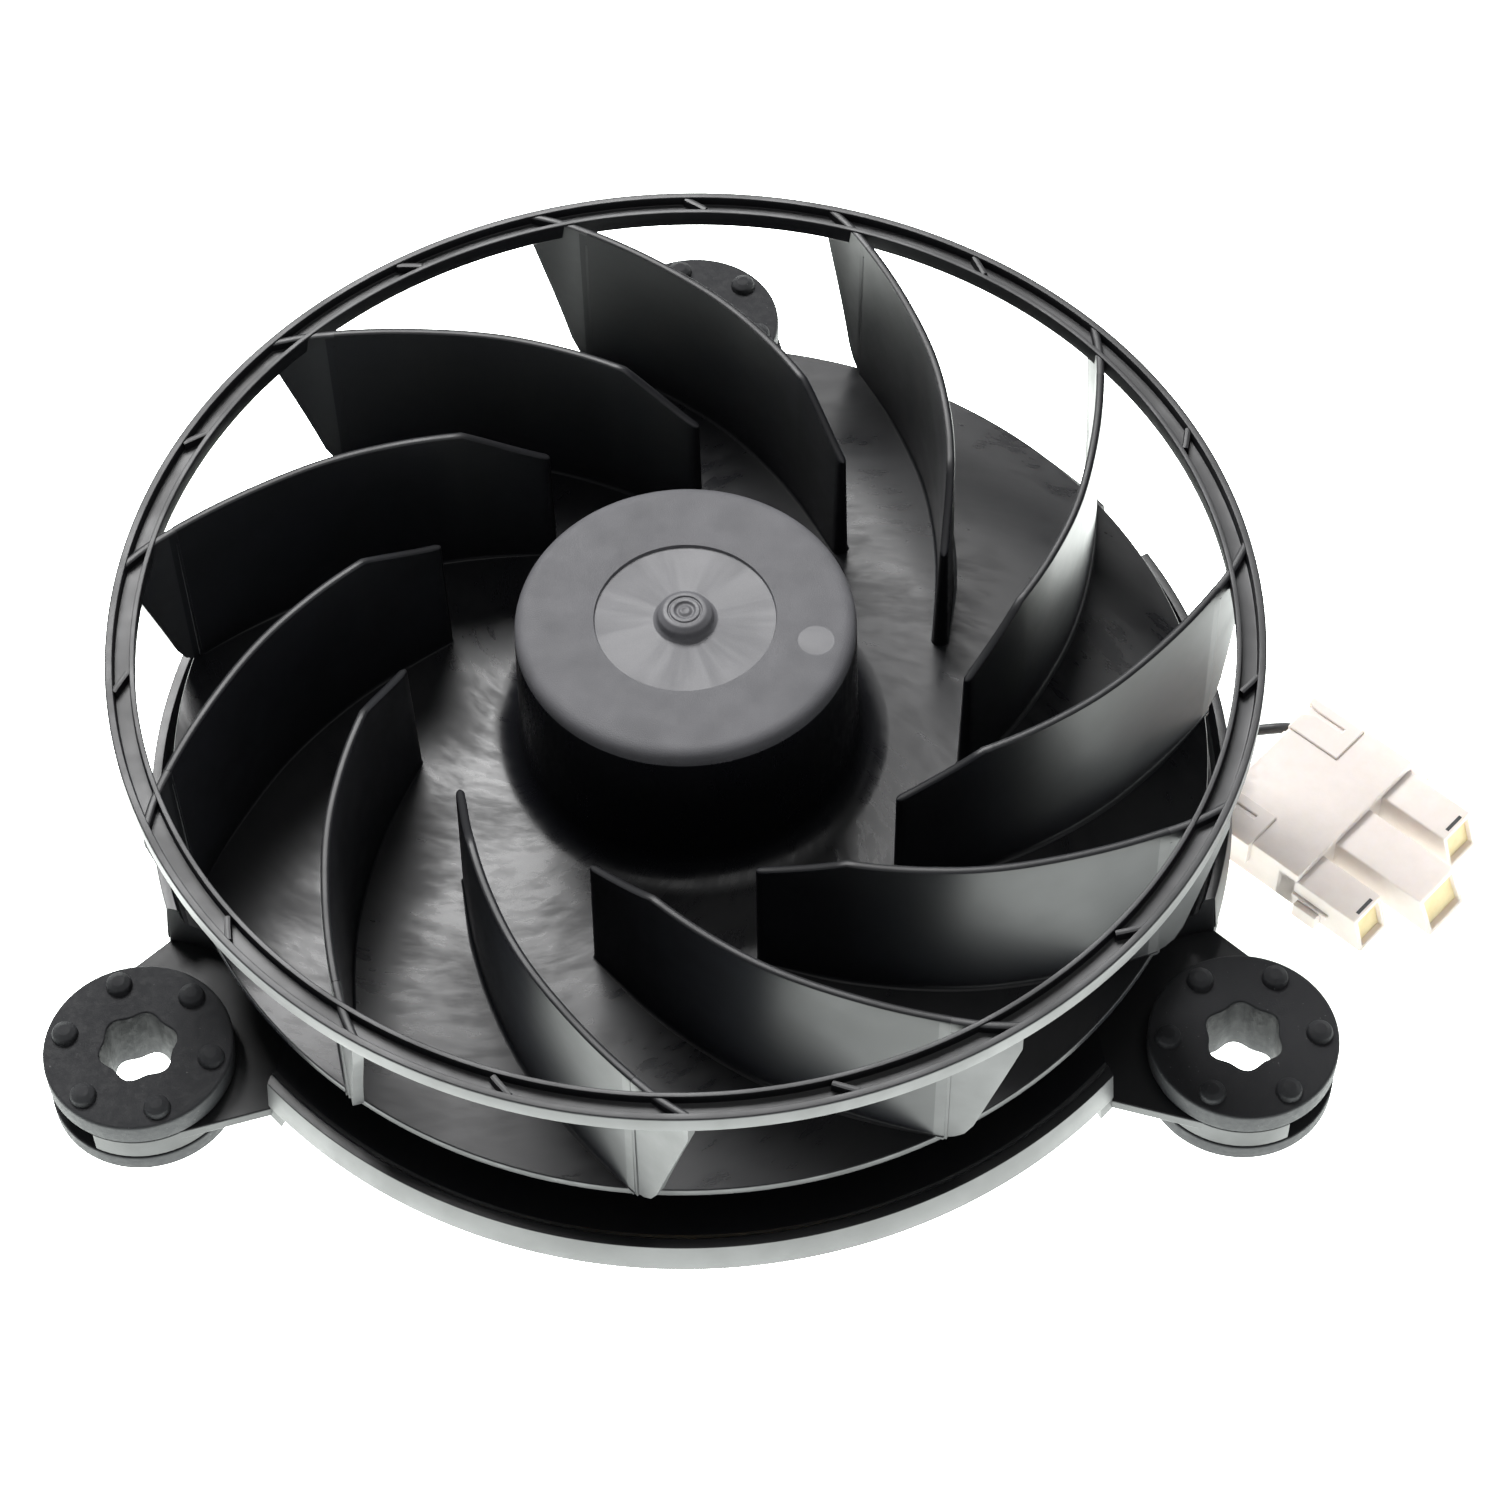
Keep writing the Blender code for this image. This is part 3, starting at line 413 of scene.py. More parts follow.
def smooth_curve(points, steps):
    """A Catmull-Rom curve through points of any dimension."""
    pts = [Vector(p) for p in points]
    pts = [pts[0] * 2 - pts[1]] + pts + [pts[-1] * 2 - pts[-2]]
    out = []
    for i in range(1, len(pts) - 2):
        a, b, c, d = pts[i - 1:i + 3]
        for k in range(steps):
            t = k / steps
            out.append(0.5 * ((2 * b) + (c - a) * t + (2 * a - 5 * b + 4 * c - d) * t * t
                              + (3 * b - a - 3 * c + d) * t ** 3))
    out.append(pts[-2])
    return out


# --------------------------------------------------------------------- wheel
BLADES = 11
BLADE_START = 55.0
BLADE_TOP, FIN_TOP = 36.9, 36.86
SLOPE_R, TOP_SLOPE = 33.3, 0.82         # inside this radius a blade's top falls towards the eye
BLADE_PLAN = ((28.2, 0.0), (33.3, 13.6), (38.2, 23.3), (43.1, 31.7), (48.9, 40.8), (54.3, 48.1), (57.5, 52.7))
RING_TOP, CHANNEL, RING_FLOOR = 37.0, 35.95, 34.8
RIM_R, RIM_Z = 53.4, 16.6               # the back plate's rim
FOOT_R, FOOT_Z = 28.0, 17.6             # the back plate where the blades begin
HUB_R = 17.2
FIN_EDGE = ((51.0, 16.1), (53.4, 16.1), (54.6, 17.7), (57.4, 35.3))     # each fin's lower edge


def plate_top(radius):
    return FOOT_Z + (RIM_Z - FOOT_Z) * (radius - FOOT_R) / (RIM_R - FOOT_R)


def blade_top(radius):
    return BLADE_TOP - max(0.0, SLOPE_R - radius) * TOP_SLOPE


def blade_line():
    """Points along a blade in plan, with the direction there and the radius."""
    line = smooth_curve([polar(r, a) for r, a in BLADE_PLAN], 8)
    made = []
    for i, p in enumerate(line):
        ahead = (line[min(i + 1, len(line) - 1)] - line[max(i - 1, 0)]).normalized()
        made.append((p, Vector((-ahead.y, ahead.x)), p.length))
    return made


def blade_section(p, side, low, top, root, tip, fillet, round_top=0.30):
    """A blade's cross-section: root fillets, drafted sides and a rounded top edge."""
    half = []
    if fillet > 0:
        half.append((root + fillet, low - 0.35))
        for k in range(5):
            a = math.radians(90.0 * k / 4)
            half.append((root + fillet * (1 - math.sin(a)), low + fillet * (1 - math.cos(a))))
    else:
        half += [(root, low)] * 6
    half += [(tip, top - round_top), (tip * 0.90, top - round_top * 0.35),
             (tip * 0.62, top - 0.03), (tip * 0.3, top)]
    outline = half + [(-w, z) for w, z in reversed(half)]
    return [(p.x + side.x * w, p.y + side.y * w, z) for w, z in outline]


def fin_low(radius):
    """Height of a fin's lower edge: level with the plate's rim, then up to the ring."""
    for (r0, z0), (r1, z1) in zip(FIN_EDGE, FIN_EDGE[1:]):
        if radius <= r1:
            return z0 + (z1 - z0) * (radius - r0) / (r1 - r0)


def blade_shape():
    """One blade: the tall part on the plate, the fin out to the ring, and the strip at the rim."""
    line, main, fin = blade_line(), [], []
    start, ahead = line[0][0], (line[1][0] - line[0][0]).normalized()
    for back, thick in ((0.0, 0.30), (0.10, 0.62), (0.28, 0.88), (0.50, 1.0)):
        p = start + ahead * back
        r = p.length
        main.append(blade_section(p, line[0][1], plate_top(r), blade_top(r), 0.80 * thick,
                                  0.45 * thick, 0.22 * thick))
    for p, side, r in line[1:]:
        if r < 53.2:
            fillet = min(0.45, 0.22 + (r - 28.8) * 0.06) * min(1.0, max(0.35, (55.0 - r) / 8.0))
            main.append(blade_section(p, side, plate_top(r), blade_top(r), 0.80, 0.45, fillet))
        if 51.5 < r < 57.2:
            fin.append(blade_section(p, side, fin_low(r), FIN_TOP, 0.55, 0.42, 0.0))
    post = min(line, key=lambda station: abs(station[2] - RIM_R + 0.1))
    middle, across = post[:2]
    along, square = Vector((across.y, -across.x)), ((1, 1), (-1, 1), (-1, -1), (1, -1))
    strip = []
    for z, half in ((16.1, 0.74), (26.0, 0.62), (35.2, 0.46)):
        corners = [middle + across * half * i + along * 0.30 * j for i, j in square]
        strip.append([(c.x, c.y, z) for c in corners])
    return Shape().loft(main).add(Shape().loft(fin)).add(Shape().loft(strip))


def wheel():
    hub = Shape().turned(rounded([
        (0.0, 38.00), (0.40, 38.12), (0.75, 37.95), (0.95, 38.0), (1.08, 38.17), (1.45, 38.17),
        (1.55, 38.05, 0.03), (1.66, 38.05, 0.03), (1.76, 38.20, 0.1), (2.2, 38.16, 0.5),
        (2.72, 37.72, 0.5), (2.86, 36.95, 0.5), (3.2, 36.70, 0.3), (9.02, 36.70, 0.02),
        (RECESS_R, 37.0, 0.03),
        (17.02, 37.0, 1.6), (17.42, 17.95, 3.4), (30.0, plate_top(30.0), 0.0),
        (RIM_R, RIM_Z, 0.18), (RIM_R, 15.5, 0.25), (18.0, 16.3, 0.5), (15.6, 15.4, 0.3),
        (15.5, 35.2, 0.4), (4.2, 35.2, 0.2), (4.2, 30.6, 0.2), (2.65, 30.6, 0.2), (2.65, 36.2, 0.1),
        (0.0, 36.2),
    ], steps=7), 16 * BLADES)
    top = hub.piece("wheel_hub_and_plate", "wheel", "rotor", smooth=50.0)
    # the hub's top takes the hub skin, whose lighter colour is partly painted sheen
    second_skin(top, "hub", lambda middle: middle.z > 35.6 and from_axis(middle) < HUB_R)
    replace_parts(top, "impeller")

    blades = Shape()
    for k in range(BLADES):
        blades.add(blade_shape(), Matrix.Rotation(math.radians(BLADE_START + 360.0 / BLADES * k), 3, "Z"))
    blades = blades.piece("wheel_blades", "blade", "rotor", smooth=45.0)
    second_skin(blades, "ring", lambda middle: from_axis(middle) > RIM_R - 0.3)

    ring = Shape().turned(rounded([
        (56.0, RING_FLOOR), (57.3, RING_FLOOR, 0.25), (57.5, RING_FLOOR + 0.3, 0.1), (57.5, RING_TOP, 0.2),
        (56.72, RING_TOP, 0.10), (56.66, CHANNEL, 0.12), (55.08, CHANNEL, 0.12), (55.04, RING_TOP, 0.08),
        (54.5, RING_TOP, 0.14), (54.68, RING_FLOOR, 0.2), (56.0, RING_FLOOR),
    ]), 20 * BLADES)
    rib = Shape().loft([blade_section(p, side, CHANNEL - 0.3, FIN_TOP, 0.42, 0.30, 0.0, 0.12)
                        for p, side, r in blade_line() if 54.9 < r < 57.1])
    for k in range(BLADES):
        turn = math.radians(BLADE_START + 360.0 / BLADES * (k + 0.5))
        ring.add(rib, Matrix.Rotation(turn, 3, "Z"))
    ring.piece("wheel_ring", "ring", "rotor", smooth=45.0)


# ---------------------------------------------------------------- base frame
EAR_PITCH, EAR_RECESS = 64.05, 14.5
EARS = {"rear": 90.0, "left": 210.0, "right": 330.0}
EAR_TOP, EAR_LOW = 6.1, 4.7
FORK_Z = (3.2, 6.05)
STIFFENERS = (60.0, 120.0, 150.0, 180.0, 240.0, 270.0, 300.0)      # directions of the ribs under the pan
BOARD_POSTS = (70.0, 190.0, 310.0)
FLOOR_LOW, FLOOR_TOP = 6.7, 8.2
RIM_FRONT, RIM_BACK = 10.3, 12.2        # the rim is lower between the two front ears
LOW_STRETCH = (388.8, 398.2)            # degrees; the rear rim is as low as the front one here
FLARE_R = 46.0                          # the pan's floor rises from here out to the rim
WALL_R = 56.25                          # the wall's outer side lies beyond this radius


def ear_swing(radius, circle=EAR_RECESS):
    """Half the angle that an ear's recess circle covers at a radius from the wheel's axis."""
    if radius <= EAR_PITCH - circle:
        return 0.0
    return math.degrees(math.acos((radius**2 + EAR_PITCH**2 - circle**2) / (2 * radius * EAR_PITCH)))


def floor_height(radius):
    return FLOOR_TOP if radius < FLARE_R else FLOOR_TOP + (radius - FLARE_R) / 8.4 * 1.5


def rim_profile(top):
    """The rim's section: out of the floor, a small chamfer and the land."""
    return (54.4, 9.65), (54.85, top - 0.40 if top < 11 else 10.0), (55.2, top), (56.2, top)


def pan_profile(top):
    """The pan's section, from the bearing's seat out over the wall and back below."""
    steps = (FLARE_R, 48.5, 49.6, 49.75, 50.1, 50.7, 51.5, 52.5, 53.5)
    return rounded([
        (5.0, 9.4, 0.0), (7.4, 9.4, 0.3), (7.5, FLOOR_TOP, 0.4), (20.0, FLOOR_TOP, 0.0),
        *[(r, floor_height(r), 0.0) for r in steps],
        *[(r, z, 0.1) for r, z in rim_profile(top)],
        (56.7, FLOOR_LOW, 0.2), (55.4, FLOOR_LOW, 0.2), (55.1, 8.15, 0.3), (54.0, 8.1, 0.0),
        *[(r, FLOOR_LOW + max(0.0, r - FLARE_R) / 8.0 * 1.4, 0.0) for r in reversed(steps)],
        (20.0, FLOOR_LOW, 0.0), (5.0, FLOOR_LOW, 0.0), (5.0, 9.4),
    ])


def pan():
    """The pan in three stretches, each from one ear's recess to the next."""
    shape = Shape()
    for start, stop, top in ((90.0, 210.0, RIM_BACK), (210.0, 330.0, RIM_FRONT), (330.0, 450.0, RIM_BACK)):
        rows, steps = [], 240
        for k in range(steps + 1):
            t = k / steps
            middle = start + (stop - start) * t
            height = RIM_FRONT if LOW_STRETCH[0] < middle < LOW_STRETCH[1] else top
            rows.append([
                (*polar(r, start + ear_swing(r) + (stop - start - 2 * ear_swing(r)) * t), z)
                for r, z in pan_profile(height)
            ])
        shape.grid(rows)
    return shape


def riser(angle):
    """The curved step at an ear: the recess's wall, which also closes the rim's ends."""
    rows, centre, steps = [], polar(EAR_PITCH, angle), 180

    def reach(circle, radius):
        """Half the angle that the pan covers on an ear's circle, out to a radius."""
        return math.degrees(math.acos((EAR_PITCH**2 + circle**2 - radius**2) / (2 * EAR_PITCH * circle)))

    def surface(radius, rim):
        """The pan's upper side at a radius."""
        height = floor_height(min(radius, 54.4))
        for (r0, z0), (r1, z1) in zip(rim_profile(rim), rim_profile(rim)[1:]):
            if radius > r0:
                height = z0 + (z1 - z0) * min(1.0, (radius - r0) / (r1 - r0))
        return height

    for k in range(steps + 1):
        t = 2.0 * k / steps - 1.0
        low_side = (angle == 210.0 and t < 0) or (angle == 330.0 and t > 0)
        rim = RIM_FRONT if low_side else RIM_BACK
        section = []
        for circle, drop in ((EAR_RECESS - 0.02, 0.0), (EAR_RECESS + 1.6, 0.3)):
            foot = polar(circle, angle + 180.0 + reach(circle, 56.66) * t, centre)
            head = polar(circle, angle + 180.0 + reach(circle, 56.17) * t, centre)
            ends = [(*foot, EAR_LOW), (*head, surface(math.hypot(*head), rim) - drop - 0.01)]
            section += reversed(ends) if drop else ends
        rows.append(section)
    return Shape().loft(rows)


def ear_plate(angle):
    """The upper of an ear's two plates, from the recess's wall out round the grommet's slot."""
    centre, inner = polar(EAR_PITCH, angle), EAR_RECESS + 0.9
    plate_r, slot_r, half = 9.3, 7.1, 5.4
    swing = math.degrees(math.acos((EAR_PITCH**2 + inner**2 - 55.6**2) / (2 * EAR_PITCH * inner)))
    arc = [polar(inner, angle + 180 - swing + 2 * swing * k / 24, centre) for k in range(25)]
    mouth, lip = math.degrees(math.asin(half / plate_r)), math.degrees(math.asin(half / slot_r))
    outer = [polar(plate_r, angle - 78 + (78 - mouth) * k / 10, centre) for k in range(11)]
    slot = [polar(slot_r, angle - lip - (360 - 2 * lip) * k / 48, centre) for k in range(49)]
    other = [polar(plate_r, angle + mouth + (78 - mouth) * k / 10, centre) for k in range(11)]
    return Shape().prism(arc + outer + slot + other, EAR_LOW, EAR_TOP)


def fork(angle):
    """The thick fork that fills the grommet's groove."""
    centre, plate_r, slot_r, half = polar(EAR_PITCH, angle), 9.5, 6.9, 5.2
    mouth, lip = math.degrees(math.asin(half / plate_r)), math.degrees(math.asin(half / slot_r))
    outer = [polar(plate_r, angle + mouth + (360 - 2 * mouth) * k / 60, centre) for k in range(61)]
    slot = [polar(slot_r, angle - lip - (360 - 2 * lip) * k / 48, centre) for k in range(49)]
    return Shape().prism(outer + slot, *FORK_Z)


def base():
    floor = pan().piece("base_pan", "frame", "stand", smooth=32.0)
    second_skin(floor, "wall", lambda middle: from_axis(middle) > WALL_R)
    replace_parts(floor, "base_frame")
    for side, angle in EARS.items():
        riser(angle).piece(f"base_riser_{side}", "ear", "stand", smooth=30.0)
        ear_plate(angle).piece(f"base_ear_{side}", "ear", "stand", bevel=0.18)
        fork(angle).piece(f"base_fork_{side}", "ear", "stand", bevel=0.18)
    under = Shape().turned(rounded([(20.0, 7.0), (20.0, 3.6, 0.2), (21.4, 3.6, 0.2), (21.4, 7.0)]), 96)
    spoke = brick(21.0, 46.0, -0.6, 0.6, 4.2, 7.1)
    for a in STIFFENERS:
        under.add(spoke, Matrix.Rotation(math.radians(a), 3, "Z"))
    under.piece("base_stiffening", "frame", "stand", bevel=0.15)
    posts = Shape()
    for a in BOARD_POSTS:
        posts.turned(rounded([(0.0, 9.2), (1.2, 9.2, 0.2), (1.2, 7.8)]), 20, polar(12.4, a))
    posts.piece("base_board_posts", "frame", "stand")


# ------------------------------------------------------------------ grommets
GROMMET_TURN = {"left": 19.3, "right": -28.6, "rear": 13.0}
GROMMET_LOW, GROMMET_TOP, GROMMET_R = 0.95, 8.95, 9.6
GROOVE_LOW, GROOVE_TOP, GROOVE_R = 3.1, 6.2, 6.5
HOLE_R, LOBE = 3.75, 0.25
BUMPS, BUMP_PITCH = 6, 7.6


def grommet(side):
    centre, turn = polar(EAR_PITCH, EARS[side]), GROMMET_TURN[side]

    def hole(a):
        return HOLE_R + LOBE * math.cos(math.radians(6 * (a - turn)))

    profile = rounded([
        (HOLE_R, 4.0), (HOLE_R, GROMMET_TOP, 0.22), (GROMMET_R, GROMMET_TOP, 0.35),
        (GROMMET_R, GROOVE_TOP, 0.25), (GROOVE_R, GROOVE_TOP, 0.2), (GROOVE_R, GROOVE_LOW, 0.2),
        (GROMMET_R, GROOVE_LOW, 0.25), (GROMMET_R, GROMMET_LOW, 0.35), (HOLE_R, GROMMET_LOW, 0.22),
        (HOLE_R, 4.0),
    ], steps=5)
    lobed = [((lambda a, d=r - HOLE_R: hole(a) + d) if r < HOLE_R + 0.6 else r, z) for r, z in profile]
    shape = Shape().turned(lobed, 120, centre)
    for z, up in ((GROMMET_TOP, 1.0), (GROMMET_LOW, -1.0)):
        dome = rounded([(1.42, z - 0.2 * up), (1.36, z + 0.1 * up, 0.1), (1.24, z + 0.62 * up, 0.35),
                        (0.62, z + 0.92 * up, 0.4), (0.0, z + 0.95 * up)], steps=5)
        for k in range(BUMPS):
            shape.turned(dome, 28, polar(BUMP_PITCH, turn + 30.0 + 360.0 / BUMPS * k, centre))
    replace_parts(shape.piece(f"grommet_{side}_rubber", "rubber", "stand", smooth=40.0), f"grommet_{side}")


# ---------------------------------------------------------------------- plug
PLUG_TURN = math.radians(-42.8)
PLUG_W, PLUG_BACK, PLUG_SHOULDER, PLUG_FOOT, PLUG_TOP = 19.7, -11.7, 0.9, 0.1, 5.6
LATCH_TOP, LATCH_W, LATCHES = 5.9, 4.9, (-0.6, 14.4)
FINGER_FOOT, FINGER_TOP, FINGER_WALL = 0.15, 4.6, 0.55
FINGERS = {                             # left edge, right edge, end of the roof, end of the floor
    "left": (0.0, 4.5, 8.3, 9.7), "middle": (6.5, 12.4, 11.8, 13.9), "right": (14.5, 19.2, 8.9, 10.4),
}
PLUG = Matrix.Translation((62.4, -10.2, 0.0)) @ Matrix.Rotation(PLUG_TURN, 4, "Z")


def plug_point(u, v, z):
    return tuple(PLUG @ Vector((u, v, z)))


def rectangle(v0, v1, z0, z1, corner, steps=3):
    """A rounded rectangle in the plug's cross-section, as (v, z) points."""
    out = []
    for cv, cz, start in ((v1 - corner, z1 - corner, 0), (v0 + corner, z1 - corner, 90),
                          (v0 + corner, z0 + corner, 180), (v1 - corner, z0 + corner, 270)):
        for k in range(steps + 1):
            a = math.radians(start + 90.0 * k / steps)
            out.append((cv + corner * math.cos(a), cz + corner * math.sin(a)))
    return out


def finger(shape, pockets, v0, v1, roof, floor, depth):
    """A hollow finger; its open end slants from the roof out to the longer floor."""
    inner = (v0 + FINGER_WALL, v1 - FINGER_WALL, FINGER_FOOT + FINGER_WALL, FINGER_TOP - FINGER_WALL)

    def end(z):
        return floor + (roof - floor) * (z - FINGER_FOOT) / (FINGER_TOP - FINGER_FOOT)

    def outside(inset, corner):
        return rectangle(v0 + inset, v1 - inset, FINGER_FOOT + inset, FINGER_TOP - inset, corner)

    def inside(out, corner):
        a, b, c, d = inner
        return rectangle(a - out, b + out, c - out, d + out, corner)

    def slanted(outline, back):
        return [(end(z) - back, v, z) for v, z in outline]

    shape.loft([[(-1.5, v, z) for v, z in outside(0.0, 0.22)], slanted(outside(0.0, 0.22), 0.22),
                slanted(outside(0.05, 0.2), 0.06), slanted(outside(0.16, 0.15), 0.0),
                slanted(inside(0.10, 0.16), 0.0), slanted(inside(0.03, 0.1), 0.04),
                slanted(inside(0.0, 0.08), 0.14), slanted(inside(0.0, 0.08), 1.0)])
    pockets.loft([slanted(inside(-0.01, 0.06), 0.6), [(depth, v, z) for v, z in inside(-0.01, 0.06)]])


def latch(v):
    """A latch plate at a rear corner: two arms parted by a slot, the outer one longer."""
    outline = [(-11.8, v), (-5.3, v), (-5.3, v + LATCH_W), (-12.2, v + LATCH_W), (-12.0, v + 3.9),
               (-10.6, v + 3.6), (-7.0, v + 3.6), (-7.0, v + 3.1), (-10.6, v + 3.0), (-11.8, v + 2.2)]
    return Shape().prism(outline, 2.4, LATCH_TOP)


def plug():
    """The plug's pieces; gives back which of them sit at the end of each lead."""
    body = Shape()
    side = rounded([(PLUG_BACK, 3.0), (PLUG_BACK, PLUG_FOOT, 0.3), (PLUG_SHOULDER, PLUG_FOOT, 0.25),
                    (PLUG_SHOULDER, PLUG_TOP, 0.28), (PLUG_BACK, PLUG_TOP, 0.35), (PLUG_BACK, 3.0)], steps=3)
    side.pop()
    cu, cz = PLUG_BACK / 2, 2.9
    edge = ((0.0, 0.28), (0.06, 0.08), (0.25, 0.0))     # depth from the side, and how far it draws in
    body.loft([[(u - math.copysign(inset, u - cu), v, z - math.copysign(inset, z - cz)) for u, z in side]
               for v, inset in (*edge, *((PLUG_W - v, inset) for v, inset in reversed(edge)))])
    pockets = Shape()
    for name, edges in FINGERS.items():
        finger(body, pockets, *edges, 2.8 if name == "middle" else -0.5)
    body.moved(PLUG)
    shell = body.piece("plug_shell", "ivory", "stand", smooth=40.0)
    pockets.moved(PLUG)
    # the pockets' insides wear the darker, yellower ivory: painted shade in the hollows
    inside = pockets.piece("plug_pockets", "ivory_painted_shade", "stand", smooth=40.0)
    inside.data.flip_normals()
    trims = [latch(v).moved(PLUG).piece(f"plug_latch_{n}", "ivory", "stand", bevel=0.16)
             for n, v in enumerate(LATCHES, 1)]
    for name, block in (("key_right", brick(-1.5, 3.0, PLUG_W - 0.8, PLUG_W + 0.4, 1.0, 4.2)),
                        ("foot_left", brick(1.4, 4.3, -1.1, 0.2, 0.2, 2.2)),
                        ("rail_left", brick(0.6, 5.2, -0.35, 0.2, 2.05, 2.6)),
                        ("rear_step", brick(PLUG_BACK - 0.35, PLUG_BACK + 0.4, 5.0, 14.2, 0.6, 5.0))):
        trims.append(block.moved(PLUG).piece(f"plug_{name}", "ivory", "stand", bevel=0.14))
    contacts = {}
    for name in ("left", "right"):
        v0, v1, roof, _ = FINGERS[name]
        mid = (v0 + v1) / 2
        back, front = roof - 6.0, roof - 1.3
        box = brick(back, front, mid - 1.15, mid + 1.15, 1.15, 1.40)
        box.add(brick(back, front, mid - 1.15, mid - 0.9, 1.15, 3.6))
        box.add(brick(back, front, mid + 0.9, mid + 1.15, 1.15, 3.6))
        box.add(brick(back, roof - 1.0, mid - 1.15, mid + 1.15, 3.35, 3.6))
        made = box.moved(PLUG).piece(f"contact_{name}_box", "tin", "stand", bevel=0.05)
        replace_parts(made, f"contact_{name}")
        # painted shade: a thin black block set flush in the slit near each finger's tip stands for the slit's
        # dark inside
        slot = brick(roof - 0.62, roof - 0.22, mid - 1.2, mid + 1.2, FINGER_TOP - 0.5, FINGER_TOP + 0.01)
        contacts[name] = [made, slot.moved(PLUG).piece(f"plug_slot_painted_shade_{name}", "chip", "stand")]
    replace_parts(shell, "connector_housing")
    return {"black": [shell, inside, *trims, *contacts["right"]], "red": contacts["left"]}


# --------------------------------------------------------------------- leads
LEAD_D = 1.2
LEAD_REST = LEAD_D / 2 + 0.05           # height of a lead's middle where it lies on the ground
LEAD_LENGTH = {"black": 0.0849, "red": 0.0787}


def wire(name, route, skin):
    """A lead along a smooth curve through its route, never below the ground."""
    points = smooth_curve(route, 6)
    curve = bpy.data.curves.new(name, "CURVE")
    curve.dimensions = "3D"
    curve.bevel_depth = LEAD_D / 2 * MM
    curve.bevel_resolution = 5
    curve.use_fill_caps = True
    spline = curve.splines.new("POLY")
    spline.points.add(len(points) - 1)
    for point, p in zip(spline.points, points):
        point.co = (p.x * MM, p.y * MM, max(p.z, LEAD_REST) * MM, 1.0)
    curve.materials.append(SKIN[skin])
    piece = bpy.data.objects.new(name, curve)
    bpy.context.scene.collection.objects.link(piece)
    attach(piece, "stand")
    return piece


def lead_route(name):
    rest = LEAD_REST
    if name == "black":
        return [
            (34.0, 6.6, FLOOR_LOW), (34.0, 6.6, 5.0), (34.4, 6.9, 3.0), (35.6, 7.9, 1.4),
            (38.0, 9.7, rest), (41.4, 11.8, rest), (44.6, 13.8, rest), (45.8, 17.0, rest),
            (44.4, 20.2, rest), (41.0, 21.3, rest), (37.2, 21.2, rest), (33.8, 22.5, rest),
            (32.4, 25.8, rest), (33.9, 29.0, rest), (37.4, 30.0, rest), (41.9, 27.9, rest),
            (46.5, 23.8, rest), (50.2, 18.2, rest), (53.6, 13.2, rest + 0.1),
            (56.8, 10.5, 1.5), (59.4, 9.75, 2.9), (61.9, 9.85, 3.25),
            plug_point(-12.2, 16.0, 3.25), plug_point(-9.6, 16.3, 3.2),
        ]
    return [
        (34.0, 2.6, FLOOR_LOW), (34.0, 2.6, 5.0), (34.4, 2.2, 3.0), (35.4, 1.0, 1.4),
        (36.8, -1.2, rest), (38.5, -4.6, rest), (39.3, -8.4, rest), (38.0, -11.8, rest),
        (34.8, -13.4, rest), (31.2, -14.2, rest), (28.8, -16.8, rest), (29.2, -20.3, rest),
        (32.2, -22.5, rest), (36.2, -22.4, rest), (40.2, -20.4, rest), (43.2, -16.8, rest),
        (45.0, -12.2, rest), (46.4, -6.8, rest), (48.2, -2.2, 1.1), (51.2, 0.7, 2.4),
        plug_point(-13.0, 2.7, 3.25), plug_point(-9.6, 2.7, 3.2),
    ]


def held_route(name):
    """The part of a lead between the circuit board and the slot in the pan's floor."""
    y_board, y = (4.2, 6.6) if name == "black" else (2.0, 2.6)
    low = FLOOR_TOP + LEAD_D / 2 + 0.3
    return [
        (16.2, y_board, low + 1.2), (18.5, y_board + (y - y_board) * 0.15, low + 0.5),
        (22.0, y_board + (y - y_board) * 0.4, low), (26.0, y_board + (y - y_board) * 0.8, low),
        (30.2, y, low), (32.4, y, low - 0.2), (33.7, y, low - 1.0), (34.0, y, FLOOR_LOW + 0.3),
    ]


def leads(on_plug):
    for name, length in LEAD_LENGTH.items():
        route = lead_route(name)
        free = wire(f"lead_{name}_free", route, f"lead_{name}")
        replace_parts(free, f"lead_{name}")
        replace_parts(wire(f"lead_{name}_in_pan", held_route(name), f"lead_{name}"), f"lead_{name}_held")


# ------------------------------------------------------- pieces kept from CAD
KEPT = {
    "bearing_tube": "brass", "thrust_cap": "nylon", "lower_bearing": "bronze", "upper_bearing": "bronze",
    "stator_core": "laminate", "insulator_upper": "insulator", "insulator_lower": "insulator",
    "coil_1": "copper", "coil_2": "copper", "coil_3": "copper", "coil_4": "copper",
    "motor_board": "board", "hall_sensor": "chip", "driver_chip": "chip", "rotor_cup": "steel",
    "rotor_magnet": "ferrite", "shaft_bushing": "brass", "shaft": "ground", "retaining_clip": "steel",
}


def skin_kept_nodes():
    for node, skin in KEPT.items():
        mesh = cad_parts[node].data
        mesh.materials.clear()
        mesh.materials.append(SKIN[skin])


# --------------------------------------------------------------------- stage
def area_light(name, place, size, power):
    """A soft white panel, in metres and watts, aimed at the wheel."""
    data = bpy.data.lights.new(name, "AREA")
    data.shape, data.size, data.size_y = "RECTANGLE", size[0], size[1]
    data.energy = power
    light = bpy.data.objects.new(name, data)
    bpy.context.scene.collection.objects.link(light)
    light.location = place
    aim = Vector((0.0, 0.0, 0.02)) - Vector(place)
    light.rotation_euler = aim.to_track_quat("-Z", "Y").to_euler()


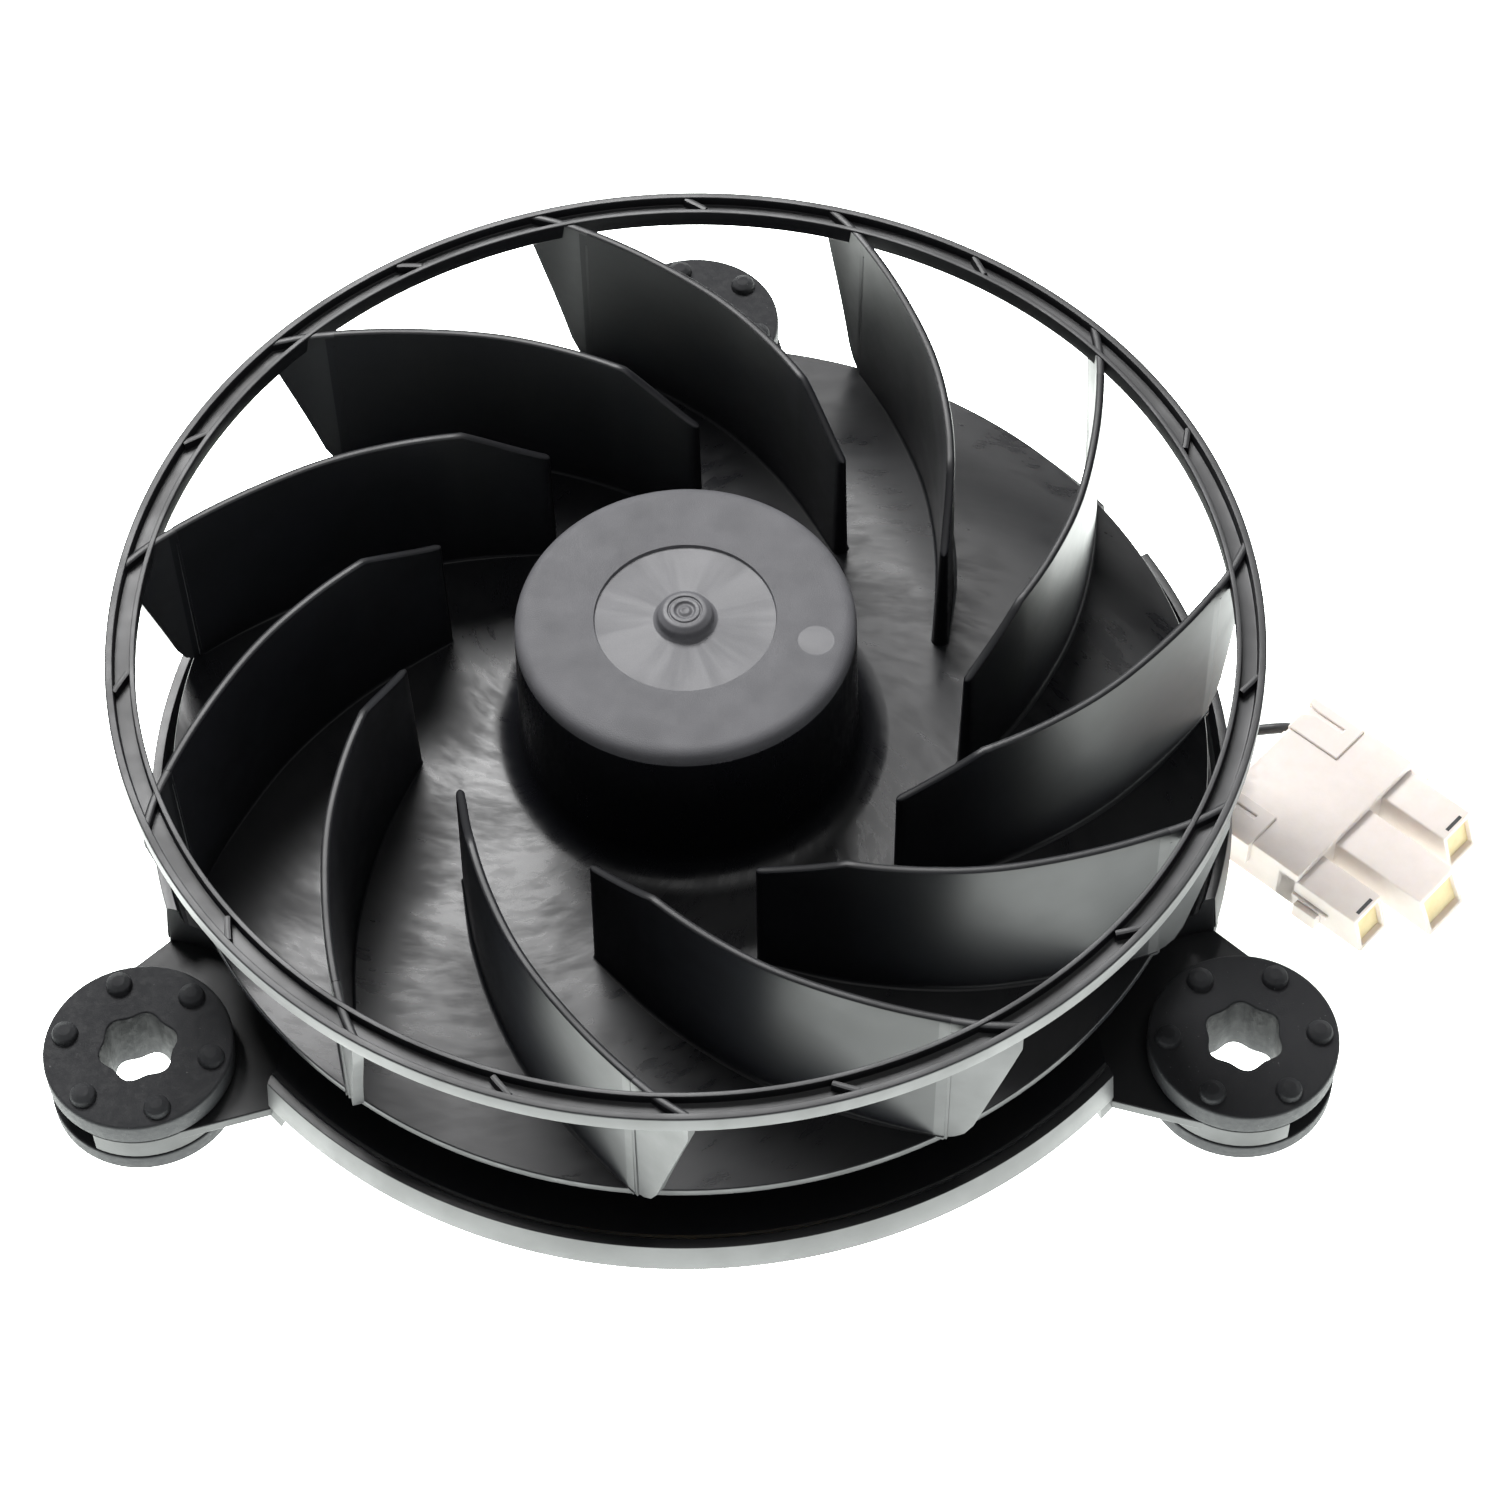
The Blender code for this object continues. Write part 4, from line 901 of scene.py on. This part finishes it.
PLUG_MIDDLE = (69.5, -3.5, 0.0)         # the ground glows less here, under the pale plug
DIM_R, BRIGHT_R = 17.0, 30.0
DIM_GLOW, GROUND_GLOW = 1.3, 6.0
SKY_HORIZON, SKY_TOP = 1.0, 0.04


def stage():
    """The pale ground, the sky and the two lights."""
    size, z = 1.6, -0.0002
    corners = [(-size, -size, z), (size, -size, z), (size, size, z), (-size, size, z)]
    mesh = bpy.data.meshes.new("floor")
    mesh.from_pydata(corners, [], [(0, 1, 2, 3)])
    floor = bpy.data.objects.new("floor", mesh)
    bpy.context.scene.collection.objects.link(floor)
    paint = Paint("floor_white", Roughness=0.9, Specular_IOR_Level=0.1)
    paint.shader.inputs["Base Color"].default_value = (0.82, 0.84, 0.82, 1.0)
    paint.shader.inputs["Emission Color"].default_value = (0.95, 1.0, 0.96, 1.0)
    spot = paint.vector("DISTANCE", paint.millimetres(), PLUG_MIDDLE)
    paint.set("Emission Strength", paint.ramp(spot, DIM_R, BRIGHT_R, DIM_GLOW, GROUND_GLOW))
    mesh.materials.append(paint.material)

    world = bpy.data.worlds.new("studio")
    bpy.context.scene.world = world
    world.use_nodes = True
    tree, sky = world.node_tree, world.node_tree.nodes["Background"]
    sky.inputs["Color"].default_value = (0.96, 0.98, 1.0, 1.0)
    direction = tree.nodes.new("ShaderNodeTexCoord")
    split = tree.nodes.new("ShaderNodeSeparateXYZ")
    glow = tree.nodes.new("ShaderNodeMapRange")      # pale round the horizon, dim overhead
    glow.interpolation_type = "SMOOTHSTEP"
    for key, value in {1: 0.20, 2: 0.50, 3: SKY_HORIZON, 4: SKY_TOP}.items():
        glow.inputs[key].default_value = value
    tree.links.new(direction.outputs["Generated"], split.inputs[0])
    tree.links.new(split.outputs["Z"], glow.inputs[0])
    tree.links.new(glow.outputs[0], sky.inputs["Strength"])
    area_light("back_sheen", (-0.20, 0.56, 0.80), (0.60, 0.36), 15.0)
    area_light("overhead", (0.15, -0.1, 1.1), (0.8, 0.8), 2.5)
    bpy.context.scene.view_settings.view_transform = "Standard"


wheel()
base()
for place in EARS:
    grommet(place)
leads(plug())
skin_kept_nodes()
stage()
